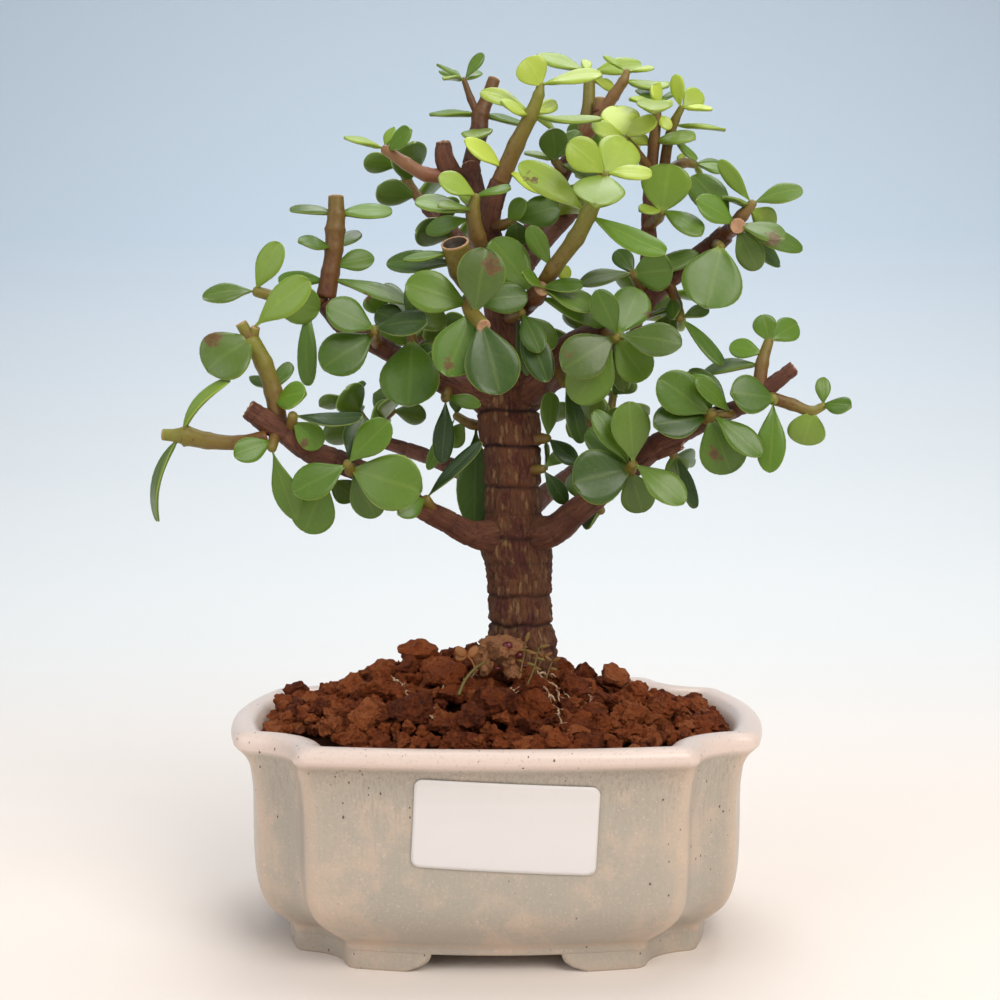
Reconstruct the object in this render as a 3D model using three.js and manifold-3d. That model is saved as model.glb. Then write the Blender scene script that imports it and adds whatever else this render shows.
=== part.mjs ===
// Dwarf jade bonsai in a glazed ceramic pot. Millimetres, +Z up, the front faces -Y.
// The origin is under the middle of the pot, on the plane that its feet stand on.
import * as THREE from "three";
import { mergeVertices } from "three/addons/utils/BufferGeometryUtils.js";
import Module from "manifold-3d";

const wasm = await Module();
wasm.setup();

// Clear space between pieces that touch.
const GAP = 0.3;

// The pot. Half width and half depth at the rim's corner ridges, and how far its faces bow out.
const POT_A = 76.4;
const POT_B = 58.5;
const BOW_A = 5;
const BOW_B = 3.5;
const RIDGE_R = 5;
// How much flatter front to back a corner notch gets for each millimetre of inset from the rim.
const NOTCH_PRESS = 0.01;
// Outside profile from the plinth up to the lip and down inside: [inset from the rim, z, notch radius].
const POT_PROFILE = [
  [16, 5.2, 17.5], [15.6, 7.8, 17.5], [12.4, 11.2, 17], [8.6, 16.4, 16.5],
  [6.8, 25, 16.5], [6.4, 46, 16.5], [4.9, 57, 17], [2.7, 60.8, 18.5], [0.2, 62.5, 20.5],
  [0.2, 65.4, 21], [2.6, 67, 21], [5.6, 66.5, 21], [8.8, 62, 20.5],
  [12.2, 46, 18.5], [14, 20, 18], [20, 13, 18],
];
const FOOT_RINGS = [[16.3, 0, 17.5], [16, 6.2, 17.5]];
const FOOT_WIDTH = 8;
// Half widths of the gaps between the feet, at the floor and at the plinth.
const FOOT_GAP_FRONT = [26, 18.5];
const FOOT_GAP_SIDE = [20, 13.5];
const DRAIN_HOLES = [-32, 32];
const DRAIN_R = 7;

// The soil: its mound above the wall line, and its granules.
const SOIL_EDGE_Z = 62.3;
const SOIL_RISE = 19.5;
const SOIL_SPREAD = [36, 32];
const TRUNK_X = 8;
const LUMP_RINGS = [0.84, 0.66, 0.48, 0.3];
const LUMP = 1.7;
const GRANULES = 8;
const GRANULE_SIZE = [6.5, 10];

// The blank paper sticker on the front.
const LABEL_W = 51;
const LABEL_H = 25;
const LABEL_CORNER = 2.4;
const LABEL_THICK = 0.6;
const LABEL_AT = [2.5, 44.9];
const LABEL_TURN = -3;

// A seeded random draw, the same on every run.
function draws(seed) {
  let s = seed;
  return (low, high) => {
    s = (s * 16807) % 2147483647;
    return low + ((high - low) * s) / 2147483647;
  };
}

function toSolid(geometry) {
  const g = geometry.clone();
  for (const key of Object.keys(g.attributes)) if (key !== "position") g.deleteAttribute(key);
  const m = mergeVertices(g, 1e-5);
  return new wasm.Manifold(new wasm.Mesh({
    numProp: 3,
    vertProperties: new Float32Array(m.attributes.position.array),
    triVerts: new Uint32Array(m.index.array),
  }));
}

// The biggest body of a solid. What a cut leaves loose beside it is dropped.
function mainBody(solid) {
  return solid.decompose().reduce((a, b) => (b.volume() > a.volume() ? b : a));
}

function toMesh(name, solid, material) {
  const m = solid.getMesh();
  const position = new Float32Array(m.numVert * 3);
  for (let i = 0; i < m.numVert; i++) {
    position.set(m.vertProperties.subarray(i * m.numProp, i * m.numProp + 3), i * 3);
  }
  const g = new THREE.BufferGeometry();
  g.setAttribute("position", new THREE.BufferAttribute(position, 3));
  g.setIndex(new THREE.BufferAttribute(new Uint32Array(m.triVerts), 1));
  g.computeVertexNormals();
  const mesh = new THREE.Mesh(g, material);
  mesh.name = name;
  return mesh;
}

// A closed skin through rings of points, with a fan over each end. The rings turn anticlockwise
// seen from the end that they run to.
function loft(rings) {
  const n = rings[0].length;
  const points = rings.flat();
  const index = [];
  for (let k = 0; k + 1 < rings.length; k++) {
    for (let i = 0; i < n; i++) {
      const j = (i + 1) % n;
      const [a, b, c, d] = [k * n + i, k * n + j, (k + 1) * n + j, (k + 1) * n + i];
      index.push(a, b, c, a, c, d);
    }
  }
  const middle = (ring) => ring.reduce((s, p) => s.add(p), new THREE.Vector3()).divideScalar(n);
  const first = points.push(middle(rings[0])) - 1;
  const last = points.push(middle(rings.at(-1))) - 1;
  const top = (rings.length - 1) * n;
  for (let i = 0; i < n; i++) {
    const j = (i + 1) % n;
    index.push(first, j, i, last, top + i, top + j);
  }
  const g = new THREE.BufferGeometry().setFromPoints(points);
  g.setIndex(index);
  return g;
}

// The pot's outline at one level, anticlockwise: four bowed faces, and at each corner a concave
// notch between two rounded ridges. a and b are half the width and depth at the ridges. The
// notches are shallower from front to back low on the pot, so y is drawn out and pressed back.
function potOutline(inset, z, notch) {
  const press = 1 - NOTCH_PRESS * inset;
  const [a, b] = [POT_A - inset, (POT_B - inset) / press];
  const reach = Math.sqrt((notch + RIDGE_R) ** 2 - RIDGE_R ** 2);
  const [faceX, faceY] = [a - reach, b - reach];
  const quarter = [];
  for (const t of [0, 0.5]) quarter.push([a + BOW_A * (1 - t * t), faceY * t]);
  const tilt = Math.atan2(RIDGE_R, reach);
  for (const s of [0, 0.5]) {
    const turn = s * (Math.PI / 2 - tilt);
    quarter.push([a - RIDGE_R + RIDGE_R * Math.cos(turn), faceY + RIDGE_R * Math.sin(turn)]);
  }
  for (const s of [0, 0.5, 1]) {
    const turn = -Math.PI / 2 - tilt - s * (Math.PI / 2 - 2 * tilt);
    quarter.push([a + notch * Math.cos(turn), b + notch * Math.sin(turn)]);
  }
  for (const s of [0.5, 1]) {
    const turn = Math.PI / 2 - (1 - s) * (Math.PI / 2 - tilt);
    quarter.push([faceX + RIDGE_R * Math.cos(turn), b - RIDGE_R + RIDGE_R * Math.sin(turn)]);
  }
  for (const t of [0.5]) quarter.push([faceX * t, b + (BOW_B / press) * (1 - t * t)]);
  const back = quarter.slice(1).map(([x, y]) => [-x, y]).reverse();
  const half = [...quarter, [0, b + BOW_B / press], ...back];
  const front = half.slice(1).map(([x, y]) => [x, -y]).reverse();
  const all = [...half, [-(a + BOW_A), 0], ...front];
  return all.map(([x, y]) => new THREE.Vector3(x, y * press, z));
}

function insetAt(z) {
  const wall = POT_PROFILE.slice(0, 9);
  const k = Math.max(1, wall.findIndex((row) => row[1] >= z));
  const t = (z - wall[k - 1][1]) / (wall[k][1] - wall[k - 1][1]);
  return wall[k - 1][0] + t * (wall[k][0] - wall[k - 1][0]);
}

// A cutter for the gap between two feet, wider at the floor, run right through along Y.
function footGap([low, high], length) {
  const s = new THREE.Shape();
  s.moveTo(-low, -2);
  s.lineTo(low, -2);
  s.lineTo(low, 0);
  s.quadraticCurveTo(high + 1, 1.2, high, 7);
  s.lineTo(-high, 7);
  s.quadraticCurveTo(-high - 1, 1.2, -low, 0);
  const g = new THREE.ExtrudeGeometry(s, { depth: length, bevelEnabled: false, curveSegments: 3 });
  return g.translate(0, 0, -length / 2).rotateX(Math.PI / 2);
}

function makePot() {
  const body = toSolid(loft(POT_PROFILE.map(([inset, z, r]) => potOutline(inset, z, r))));
  let feet = toSolid(loft(FOOT_RINGS.map(([inset, z, r]) => potOutline(inset, z, r))));
  const inside = [-1, 9].map((z) => potOutline(FOOT_RINGS[0][0] + FOOT_WIDTH, z, 17.5));
  feet = feet.subtract(toSolid(loft(inside)));
  feet = feet.subtract(toSolid(footGap(FOOT_GAP_FRONT, 200)));
  feet = feet.subtract(toSolid(footGap(FOOT_GAP_SIDE, 260).rotateZ(Math.PI / 2)));
  let pot = body.add(feet);
  for (const x of DRAIN_HOLES) {
    const drill = new THREE.CylinderGeometry(DRAIN_R, DRAIN_R, 20, 10).rotateX(Math.PI / 2);
    pot = pot.subtract(toSolid(drill.translate(x, 0, 10)));
  }
  return pot;
}

function moundZ(x, y) {
  const fall = ((x - TRUNK_X) / SOIL_SPREAD[0]) ** 2 + (y / SOIL_SPREAD[1]) ** 2;
  return SOIL_EDGE_Z + SOIL_RISE * Math.exp(-fall / 2);
}

// The bed fills the pot's inside and mounds up lumpily to the trunk, with granules half sunk in it.
function makeSoil(trunkHole) {
  const inner = POT_PROFILE.slice(-4).reverse();
  const rings = inner.map(([inset, z, r], i) => potOutline(inset + GAP * 1.4, z + (i ? 0 : GAP), r));
  const edge = potOutline(inner[3][0] + GAP * 1.4, inner[3][1], inner[3][2]);
  const draw = draws(41);
  for (const ring of LUMP_RINGS) {
    rings.push(edge.map((p) => {
      const s = ring + draw(-0.035, 0.035);
      const [x, y] = [p.x * s + TRUNK_X * (1 - s), p.y * s];
      return new THREE.Vector3(x, y, moundZ(x, y) + draw(-LUMP, LUMP));
    }));
  }
  let soil = toSolid(loft(rings));
  const golden = Math.PI * (3 - Math.sqrt(5));
  for (let i = 0; i < GRANULES; i++) {
    const out = Math.sqrt((i + 2.5) / (GRANULES + 2));
    const turn = i * golden;
    const x = TRUNK_X * (1 - out) + 63 * out * Math.cos(turn);
    const y = 45 * out * Math.sin(turn);
    const grain = new THREE.BoxGeometry(...Array.from({ length: 3 }, () => draw(...GRANULE_SIZE)));
    grain.rotateX(draw(0, 3)).rotateY(draw(0, 3)).rotateZ(draw(0, 3));
    soil = soil.add(toSolid(grain.translate(x, y, moundZ(x, y) + draw(-1, 1.5))));
  }
  const limit = [40, 110].map((z) => potOutline(8.8 + GAP * 1.4, z, 20.5));
  soil = soil.intersect(toSolid(loft([potOutline(inner[0][0], 0, inner[0][2]), ...limit])).add(
    toSolid(loft([potOutline(11, 0, 18.5), potOutline(8.8 + GAP * 1.4, 110, 20.5)]))));
  return mainBody(soil.subtract(trunkHole));
}

// The sticker lies on the bowed front, so it is a sheet of points set out from the pot's face.
function makeLabel() {
  const [across, up] = [7, 3];
  const turn = (LABEL_TURN * Math.PI) / 180;
  const sheet = (out) => {
    const rows = [];
    for (let i = 0; i <= across; i++) {
      const s = -LABEL_W / 2 + LABEL_W * (i === 0 ? 0 : i === across ? 1 : (i - 0.5) / (across - 1));
      const end = Math.max(0, Math.abs(s) - (LABEL_W / 2 - LABEL_CORNER));
      const half = LABEL_H / 2 - LABEL_CORNER + Math.sqrt(LABEL_CORNER ** 2 - end ** 2);
      for (let j = 0; j <= up; j++) {
        const t = half * ((2 * j) / up - 1);
        const x = LABEL_AT[0] + s * Math.cos(turn) - t * Math.sin(turn);
        const z = LABEL_AT[1] + s * Math.sin(turn) + t * Math.cos(turn);
        const inset = insetAt(z);
        const faceX = POT_A - inset - Math.sqrt((16.7 + RIDGE_R) ** 2 - RIDGE_R ** 2);
        rows.push(new THREE.Vector3(x, -(POT_B - inset + BOW_B * (1 - (x / faceX) ** 2)) - out, z));
      }
    }
    return rows;
  };
  const points = [...sheet(GAP + 0.05 + LABEL_THICK), ...sheet(GAP + 0.05)];
  const back = points.length / 2;
  const at = (i, j) => i * (up + 1) + j;
  const index = [];
  const quad = (a, b, c, d) => index.push(a, b, c, a, c, d);
  for (let i = 0; i < across; i++) {
    for (let j = 0; j < up; j++) {
      const [a, b, c, d] = [at(i, j), at(i + 1, j), at(i + 1, j + 1), at(i, j + 1)];
      quad(a, b, c, d);
      quad(back + a, back + d, back + c, back + b);
    }
    quad(at(i + 1, 0), at(i, 0), back + at(i, 0), back + at(i + 1, 0));
    quad(at(i, up), at(i + 1, up), back + at(i + 1, up), back + at(i, up));
  }
  for (let j = 0; j < up; j++) {
    quad(at(0, j), at(0, j + 1), back + at(0, j + 1), back + at(0, j));
    quad(at(across, j + 1), at(across, j), back + at(across, j), back + at(across, j + 1));
  }
  const g = new THREE.BufferGeometry().setFromPoints(points);
  g.setIndex(index);
  return toSolid(g);
}

// The woody plant. Each row is one limb, as points [u, v, depth, radius], thick end first.
const WOOD = [
  [[8.2, 66, 0, 11], [8.4, 84, 0, 10.7], [7.6, 93, 0, 9.9], [7.2, 102, 0, 9.7], [7, 112, 0, 10.6],
    [5.8, 119, 0, 11.2], [5.1, 128, 0, 9], [5, 137, 0, 8.6], [4.6, 149, 0, 9.3], [3.6, 160, 0, 9.8],
    [3.4, 168, -1, 9.2], [3, 176, -2, 7], [2, 186, -3, 5.6], [0, 197, -4, 4.6], [-1, 208, -5, 4],
    [-2.5, 218, -6, 3.6], [-1, 225, -7.5, 3.4], [1, 231, -9, 3.1]],
  [[-2, 214, -5, 3.4], [-6, 225, -2, 3.2], [-8.2, 236, 2, 3]],
  [[-6, 224, -2, 3.2], [-12, 231, -2, 3.2], [-16, 237, -3, 3.2], [-16.5, 243, -3, 2.5]],
  [[2, 199, -3, 3.8], [8, 211, 1, 3.4], [15, 222, 4, 3], [21, 235, 6, 2.7], [26, 242.5, 6, 2.6]],
  [[1, 189, -4, 4], [7, 191.5, -9, 3.3], [13, 196.5, -14, 2.9]],
  [[0, 195, -4, 3.6], [-4, 197, -9, 3.1]],
  [[2, 166, -2, 6.5], [-8, 166, -6, 4.2], [-16, 168.5, -10, 3.6], [-26, 174, -12, 3.2],
    [-37, 180.5, -13, 3], [-46, 185, -13, 3], [-53, 193.5, -12, 3.4]],
  [[5, 164, -2, 6.5], [14, 170, -7, 4.4], [19, 178, -10, 3.3], [26, 183, -12, 3], [34, 185, -13, 2.9],
    [41, 190, -11, 3.2], [47, 195.5, -9, 3.9], [53, 200.5, -8, 3.1], [60, 206, -8, 3.1],
    [66, 210.5, -9, 3.3], [71, 215, -11, 3]],
  [[46, 196, -8, 3.2], [47, 208, -5, 2.6], [47, 222, -3, 2.4], [47.7, 233, -1.5, 2.2]],
  [[47.5, 229, -2, 2], [51.5, 234, -1, 1.9]],
  [[3, 121, -2, 6.5], [-8, 121.8, -9, 4], [-16, 126, -14, 3.6], [-22, 129, -18, 3.4],
    [-30, 134, -23, 3.1], [-40, 140.5, -28, 3.1], [-49, 144, -31, 3.5], [-58, 147.5, -33, 3.4],
    [-66, 153.5, -35, 3.4], [-72, 157, -36, 3.3], [-77.8, 160.8, -37, 2.8]],
  [[8, 121, -2, 6.5], [18, 123, -8, 4.7], [24, 128, -13, 4.3], [31, 133.5, -18, 3.8],
    [40, 141, -22, 3.6], [48, 148, -25, 3.8], [56, 152.5, -28, 3.2], [66, 157.5, -30, 2.9],
    [76, 161.5, -31, 2.6], [82, 165.5, -31, 2.5], [88, 170, -31, 2.3], [92.6, 173.4, -31, 2.2]],
  [[50, 147.5, -26, 2.6], [58.3, 149, -30, 0.9]],
  [[6, 150, 4, 5], [0, 158, 17, 3.6], [-12, 168, 28, 2.9], [-25, 177, 37, 2.3]],
  [[6, 160, 4, 5], [16, 168, 17, 3.4], [30, 177, 28, 2.7], [44, 184, 36, 2.2]],
  [[2, 186, 0, 4.4], [-3, 200, 13, 3.3], [-12, 213, 23, 2.6], [-22, 223, 30, 2.1]],
  [[1, 193, 0, 4], [11, 208, 14, 3], [22, 220, 25, 2.5], [32, 229, 32, 2.1]],
  [[7, 128, 4, 4.6], [15, 134, 17, 3.3], [24, 141, 28, 2.7], [34, 147, 36, 2.2]],
  [[4, 134, 4, 4.4], [-8, 140, 17, 3.2], [-22, 146, 28, 2.6], [-37, 151, 36, 2.2]],
];

// The leafy shoots that the front shows. A row is a name, how young its leaves are from 0 to 1, its
// stems as limbs, and its leaves as [station, tip u, tip v, depth from base to tip, width, lift,
// turn, bend]. Station 12.5 is half way from point 2 to point 3 of stem 1. Lift and turn are the
// compass of the upper face: lift 90 faces up, turn 0 faces the front, and turn 90 faces right.
const SHOOTS = [
  ["apex", 0.35, [[[-8, 236, 2, 2.8], [-5.5, 246, 5, 2.9], [-5, 251, 6, 2.8], [-3, 256, 7, 2.1],
    [-0.8, 262, 8, 2]], [[-5.8, 251, 6, 1.3], [-8, 256, 6.5, 1.2], [-10, 261.5, 7, 0.9]]],
  [[2, -20.8, 250.8, 3, 7, 65], [2, 9, 247.5, 3, 7, 65], [1, -6.5, 244, -11, 10, 75],
    [12, -18.6, 266.4, 0, 3, 70], [12, -17.3, 264.3, 4, 4.5, 50], [12, -4.2, 269.8, 1, 4.2, 25],
    [12, -16.3, 262.4, -3, 4.2, 70], [12, -5, 264, -2, 4.2, 70]]],
  ["top_left", 0.5, [[[-14, 232.5, -2, 2.4], [-22, 233, -3, 2.2], [-28, 236.3, -4, 2],
    [-34.5, 240.6, -4, 1.6]]],
  [[3, -47.3, 243.9, 1, 6, 65], [3, -31.8, 247, 4, 4.5, 20, -30], [2.8, -26.3, 246.6, -2, 7, 20]]],
  ["top_front_left", 0.5, [[[-3.5, 207, -8, 2.6], [-6, 214, -15, 2.6], [-7.3, 221, -17, 2.2],
    [-6.5, 226, -18, 1.5]]],
  [[3, -18.2, 232, -3, 9, 35], [3, 4.5, 228.6, -3, 5.5, 50], [2, -25.3, 224.6, -3, 9, 40],
    [2.1, -17.8, 223.7, -8, 5, 35], [2.3, -11, 227.5, -6, 3.4, 10], [1.8, -21.8, 215.5, 8, 6, 10]]],
  ["front_stub", 0.3, [[[-4, 198, -10, 3], [-8.5, 199, -18, 2.8], [-11, 203.5, -23, 3.6],
    [-13, 212, -28, 4.3]]],
  [[2.6, -29, 206.2, -2, 6, 60], [2.2, -34, 205.5, 6, 9, 30]]],
  ["front_low", 0.25, [[[-3, 195.5, -10, 2.5], [-8.6, 194, -24, 2.3], [-8, 191, -30, 2.2],
    [-4, 186.3, -38, 2.1]]],
  [[2, -15.5, 170.5, -6, 14, 0], [2.7, 1, 165, -4, 16, 15], [2.3, -3.5, 210.5, -2, 14, -5],
    [1.5, -28.3, 199.3, -4, 12.5, 5], [1.2, 9.5, 195.5, 2, 9.5, 5]]],
  ["left_node", 0.2, [[[-37, 180.5, -14, 2], [-38, 183, -19, 2], [-38, 185, -24, 1.6]]],
  [[2, -53, 192.3, -4, 11.5, 25], [2, -21.5, 187.5, -6, 10.5, 35], [1.4, -54.3, 173, -6, 13.5, 10],
    [1, -53, 180.5, 6, 5, 60]]],
  ["left_inner", 0.15, [[[-25, 174, -12, 1.9], [-26, 181, -15, 1.7], [-27, 186, -17, 1.3]]],
  [[1.2, -27.5, 161, -8, 18, -8], [2, -37.5, 190.5, 2, 9, 20], [2, -16, 190, 6, 9, 15],
    [2, -34, 199.5, 8, 6, 45], [1.9, -25, 201, 8, 6, 40]]],
  ["left_top", 0.35, [[[-53, 195, -12, 3.2], [-51.5, 203, -12, 2.8], [-50.4, 210, -12, 2.8],
    [-50, 216, -12, 3.1], [-49.6, 220.5, -12, 2.7], [-49.7, 226.3, -12, 2.4]],
    [[-53, 195, -12, 1.8], [-58, 193, -14, 1.4]]],
  [[4, -32.3, 221, 2, 8.5, 50], [4, -64, 222.3, 2, 6, 60], [2, -61.5, 212.3, -7, 7, 45],
    [2, -42.3, 215, 8, 5.5, 35], [1.2, -38, 207.5, 3, 7.5, 15], [0.6, -67.5, 200.5, 6, 6.5, 35],
    [0.7, -27.5, 193.6, 2, 8, 50], [11, -58, 167.8, 0, 8, 0, -40]]],
  ["left_far", 0.45, [[[-55, 193.5, -12, 2], [-65, 194.5, -16, 1.9], [-74.5, 197, -19, 1.7]]],
  [[2, -66.7, 212, -3, 9, 5, -20], [2, -91.3, 195.2, -4, 7.5, 35], [1.7, -54.8, 191.5, 6, 12.5, -15]]],
  ["left_stub", 0.45, [[[-68, 157, -34, 2.7], [-69.5, 166, -34, 2.6], [-72.5, 175, -35, 2.6],
    [-76.3, 182, -36, 2.6]], [[-76.3, 182, -36, 1.9], [-79.4, 187.3, -37, 1.7]],
  [[-75.8, 182, -36, 1.6], [-74.8, 186, -37, 1.3]]],
  [[21, -57.5, 200.3, -6, 10.5, 20], [3, -90, 172.3, -5, 16, 15, 0, 40], [1, -64, 174.8, 6, 5, 25],
    [1, -76.3, 170.4, 5, 3.6, 30], [0.6, -59.3, 165.5, -7, 9, 15]]],
  ["left_tip", 0.45, [[[-71.5, 152, -37, 2.1], [-80, 150.2, -38, 2.1], [-90, 150.8, -39, 2.4],
    [-97, 152.3, -39, 3], [-99.5, 152.4, -39, 2], [-104, 152.7, -39, 1.7]]],
  [[3.3, -82.5, 169.3, -2, 7, 20, -60, 60], [3.4, -106.8, 125.8, 3, 7, 20, -60, 50]]],
  ["left_low_front", 0.25, [[[-43.5, 141.5, -30, 2], [-45.5, 141.8, -35, 1.9],
    [-46.5, 143.5, -38, 1.5]]],
  [[2, -33.3, 157, -3, 9.5, 5], [1.8, -41.5, 158, 5, 8.5, 0], [1.8, -63.5, 134.3, -5, 11, 20],
    [1, -23.5, 135, -6, 16.5, 5], [0.8, -37.5, 127, 4, 10, -10]]],
  ["left_low", 0.2, [[[-69, 153, -36, 1.8], [-70, 148.5, -40, 1.4]]],
  [[1, -62.3, 126.5, 2, 8, 5, -15], [0.6, -82, 146, -6, 7.5, 10]]],
  ["left_low_back", 0.2, [[[-54, 145, -31, 1.7], [-53, 139, -28, 1.4]]],
  [[1, -59.8, 122.5, 3, 13.5, -5], [1, -62.3, 138.8, 8, 5, 20], [1, -44, 133, 8, 8, 0]]],
  ["left_upper", 0.2, [[[-64, 154, -35, 1.8], [-63.5, 158.5, -40, 1.5]]],
  [[1, -41.5, 157.6, -6, 6.5, 50, 0, -25], [0.6, -54.5, 149, 9, 8, 0]]],
  ["trunk_left", 0.15, [[[-20, 129, -18, 1.8], [-22, 132.5, -23, 1.5]]],
  [[1, -4.3, 150, -2, 5.5, 15, -40], [1, -31, 128, 4, 7, 10]]],
  ["under_left", 0.15, [[[-15, 168, -10, 1.9], [-16, 164, -15, 1.5]]],
  [[1, -17.5, 143.6, -3, 7, 0, 20], [0.8, -5, 161.8, -4, 4.5, 0]]],
  ["trunk_left_back", 0.25, [[[0, 155, 10, 1.9], [-8, 156, 11, 1.7], [-12.5, 158.5, 12, 1.4]]],
  [[2, -12.5, 165.5, 2, 5, 10], [1.4, -14.3, 149, 3, 7, 20], [2, -21.5, 141.6, 4, 5, 20],
    [0.8, -7, 124.2, 4, 12, 0]]],
  ["trunk_right", 0.15, [[[8, 150.5, -4, 2], [14.5, 151.5, -6, 1.6], [15.8, 151.5, -7, 1.3]]],
  [[2, 24.7, 143.5, -4, 6.5, 25], [1.8, 16.5, 166, 4, 7, 0, 30], [1.4, 15.5, 142, 5, 4.5, 0]]],
  ["trunk_right_low", 0.15, [[[9, 141.5, -4, 1.9], [14.3, 142, -8, 1.4]]],
  [[1, 21.5, 131.2, -3, 5.8, 20], [1, 22, 147.5, 8, 5, 20]]],
  ["right_low_front", 0.25, [[[40, 141.5, -22, 2], [41.5, 142, -27, 1.9], [42.5, 143.5, -31, 1.5]]],
  [[1, 23.5, 137.5, -5, 16.5, 5], [2, 41, 163, -3, 11.5, 0], [2, 58.6, 131.3, -5, 10.5, 30],
    [0.8, 45.5, 128.5, 3, 10.5, 0], [1.2, 28.3, 154, 4, 9, 10], [1.4, 30, 160, 8, 7.5, 30]]],
  ["right_low", 0.2, [[[30, 133, -18, 1.8], [32.5, 129, -14, 1.4]]],
  [[1, 27.5, 125.3, 3, 8, -5], [1, 22.5, 140.5, 8, 8, 10]]],
  ["right_low_back", 0.2, [[[53, 150.5, -27, 1.8], [55, 146.5, -24, 1.5]]],
  [[1, 61.5, 129.6, 2, 6.5, 0, 45], [1, 56.5, 140.5, 6, 8, 0], [1, 62, 145, 12, 6, 0]]],
  ["right_outer", 0.2, [[[65, 157.5, -30, 2], [66, 158, -35, 1.9], [67, 159.5, -38, 1.5]],
    [[71, 159, -31, 1.6], [73, 159, -36, 1.3], [66.5, 159, -36.5, 1.3]]],
  [[1, 48.6, 155.3, -5, 11.5, 25], [1.6, 50, 170, -1, 12.5, 0], [1.4, 60.5, 171, 5, 10, 0],
    [1, 73, 140.8, 1, 14, -5], [1.6, 82.3, 146, -4, 9, 30], [11, 61.8, 169.8, -3, 6, 35, -40],
    [11, 59.8, 172.7, 4, 8, 25]]],
  ["right_far", 0.35, [[[84, 164.5, -31, 2], [92, 162, -32, 1.8], [98, 160, -33, 1.5],
    [101.5, 161.5, -33, 1.2]], [[85, 164.5, -31, 1.9], [86, 163.5, -35, 1.6]]],
  [[11, 72.5, 165.5, -5, 12, 20], [11, 85, 140.7, -3, 8.5, 0, -10], [3, 101.2, 170.5, 2, 4.6, 15],
    [3, 110.4, 161.2, -3, 6.5, 25], [2, 95, 149.6, 2, 11, 0]]],
  ["right_twig", 0.35, [[[81.5, 166, -31, 2.2], [82.5, 175, -30, 1.9], [84.4, 181.5, -29, 1.5]]],
  [[2, 82, 189.8, 0, 7, 0], [2, 93, 186.8, 1, 8, 10], [1.4, 72.2, 180, 3, 6.5, 15],
    [0.9, 64, 172.5, 5, 8, 40]]],
  ["mid_right", 0.35, [[[34, 184.5, -15, 2], [36, 182.5, -22, 1.9], [37.5, 183, -26, 1.5]]],
  [[2, 30.6, 197.5, -4, 8.5, 10], [2, 44, 197.5, 2, 12, 5], [2, 57.5, 180.8, -6, 11.5, 20],
    [1.4, 20.5, 172.8, -5, 14, 5], [1, 24.5, 162.5, 0, 14, -5], [1.2, 46.5, 170, 1, 12, -5],
    [1, 39.8, 166, 9, 6, 0]]],
  ["hang_right", 0.15, [[[18, 174.5, -9, 1.8], [21, 168.5, -14, 1.5]]],
  [[1, 26, 149.8, -1, 7.2, 0, 30], [1, 31, 166, 10, 8, 10]]],
  ["inner_right", 0.3, [[[9, 193, -10, 2.8], [12, 195.5, -18, 2.9], [14, 198, -22, 2.5]]],
  [[2, 26.8, 198.4, -3, 7, 45], [2, 7.8, 202.8, -4, 6, 45], [1.7, 31.3, 191.5, -4, 9.5, 40],
    [1, 34, 186.5, 6, 7, 30], [1, -1.5, 213, 3, 12.5, 0]]],
  ["inner_front", 0.25, [[[4, 189, -8, 2.2], [6, 190, -17, 1.8], [7.5, 190.5, -20, 1.5]]],
  [[2, 13.5, 178, -6, 7.5, 20], [1.8, 18, 179.5, 2, 8, 10], [1.6, 15.8, 168.9, -2, 9, 0],
    [1, 9.5, 171, -4, 4, 0]]],
  ["front_stem", 0.6, [[[13, 196.5, -14, 2.6], [17.5, 204, -20, 2.4], [24.5, 213.5, -25, 2.6],
    [28.2, 220.5, -28, 2.5], [32, 228.5, -31, 2], [33.5, 233, -32, 1.4]]],
  [[3, 52.3, 208.3, -8, 9, 35, 0, -20], [3, 7, 236.5, 3, 9.5, 25], [4.7, 30.5, 223.5, -14, 15, 55],
    [5, 21.8, 242.6, -4, 10, 5], [5, 48, 232.8, -4, 6.8, 40], [4.8, 40, 243, 5, 13, 5],
    [1, 10, 217.2, -2, 6.5, 15, -30], [1, 22.8, 202, 3, 4.5, 0]]],
  ["top_right_front", 0.65, [[[47.6, 234, -2, 1.7], [42, 241, -10, 1.5], [39.5, 244, -13, 1.2]]],
  [[2, 28.8, 247.5, -3, 6.5, 30], [2, 49.2, 250, -3, 7, 30], [1.9, 37, 253.3, 5, 12, 20]]],
  ["long_stem", 0.7, [[[1, 230.5, -9, 2.9], [6, 242, -12, 2.5], [10.5, 251, -14, 2.2],
    [13, 257.5, -15, 1.7], [13.5, 260, -15, 1.2]]],
  [[1.9, 1, 254.8, -6, 7, 45], [2.1, -5, 258.6, -3, 6.5, 40], [2, 32.4, 250.3, -4, 6.5, 55, 0, -25],
    [2, 18.3, 254.5, 5, 5.5, 20], [0.3, -10, 243.7, -4, 6.8, 35], [0.3, 16.4, 227, -4, 6.5, 35],
    [4, 8.6, 268.2, -2, 10, 5], [4, 32.5, 263.4, -4, 7.5, 40], [2, 18.3, 246.5, 3, 4, 20]]],
  ["back_stem", 0.55, [[[26, 242.5, 6, 2.5], [28, 251, 7, 2.2], [28.6, 263.5, 8, 1.8]]],
  [[2, 12, 268.8, 3, 7.5, 45], [2, 27, 267.6, 4, 3.5, 20], [2, 44.5, 266.3, 3, 7.5, 35],
    [1.9, 36.3, 259, 2, 4.8, 30]]],
  ["inner_top", 0.2, [[[20.5, 234, 5, 1.7], [18, 237, -3, 1.4]]],
  [[1, 17, 247.3, -2, 9, 5], [1, 25.5, 246, 2, 6, 20], [1, 8.5, 239.7, -2, 4, 60],
    [0.7, 31, 232, 6, 6.5, 30]]],
  ["pink_twig", 0.55, [[[25.5, 242, 6, 2.3], [33, 252.5, 3, 2.1], [36, 257, 2, 1.9],
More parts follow.
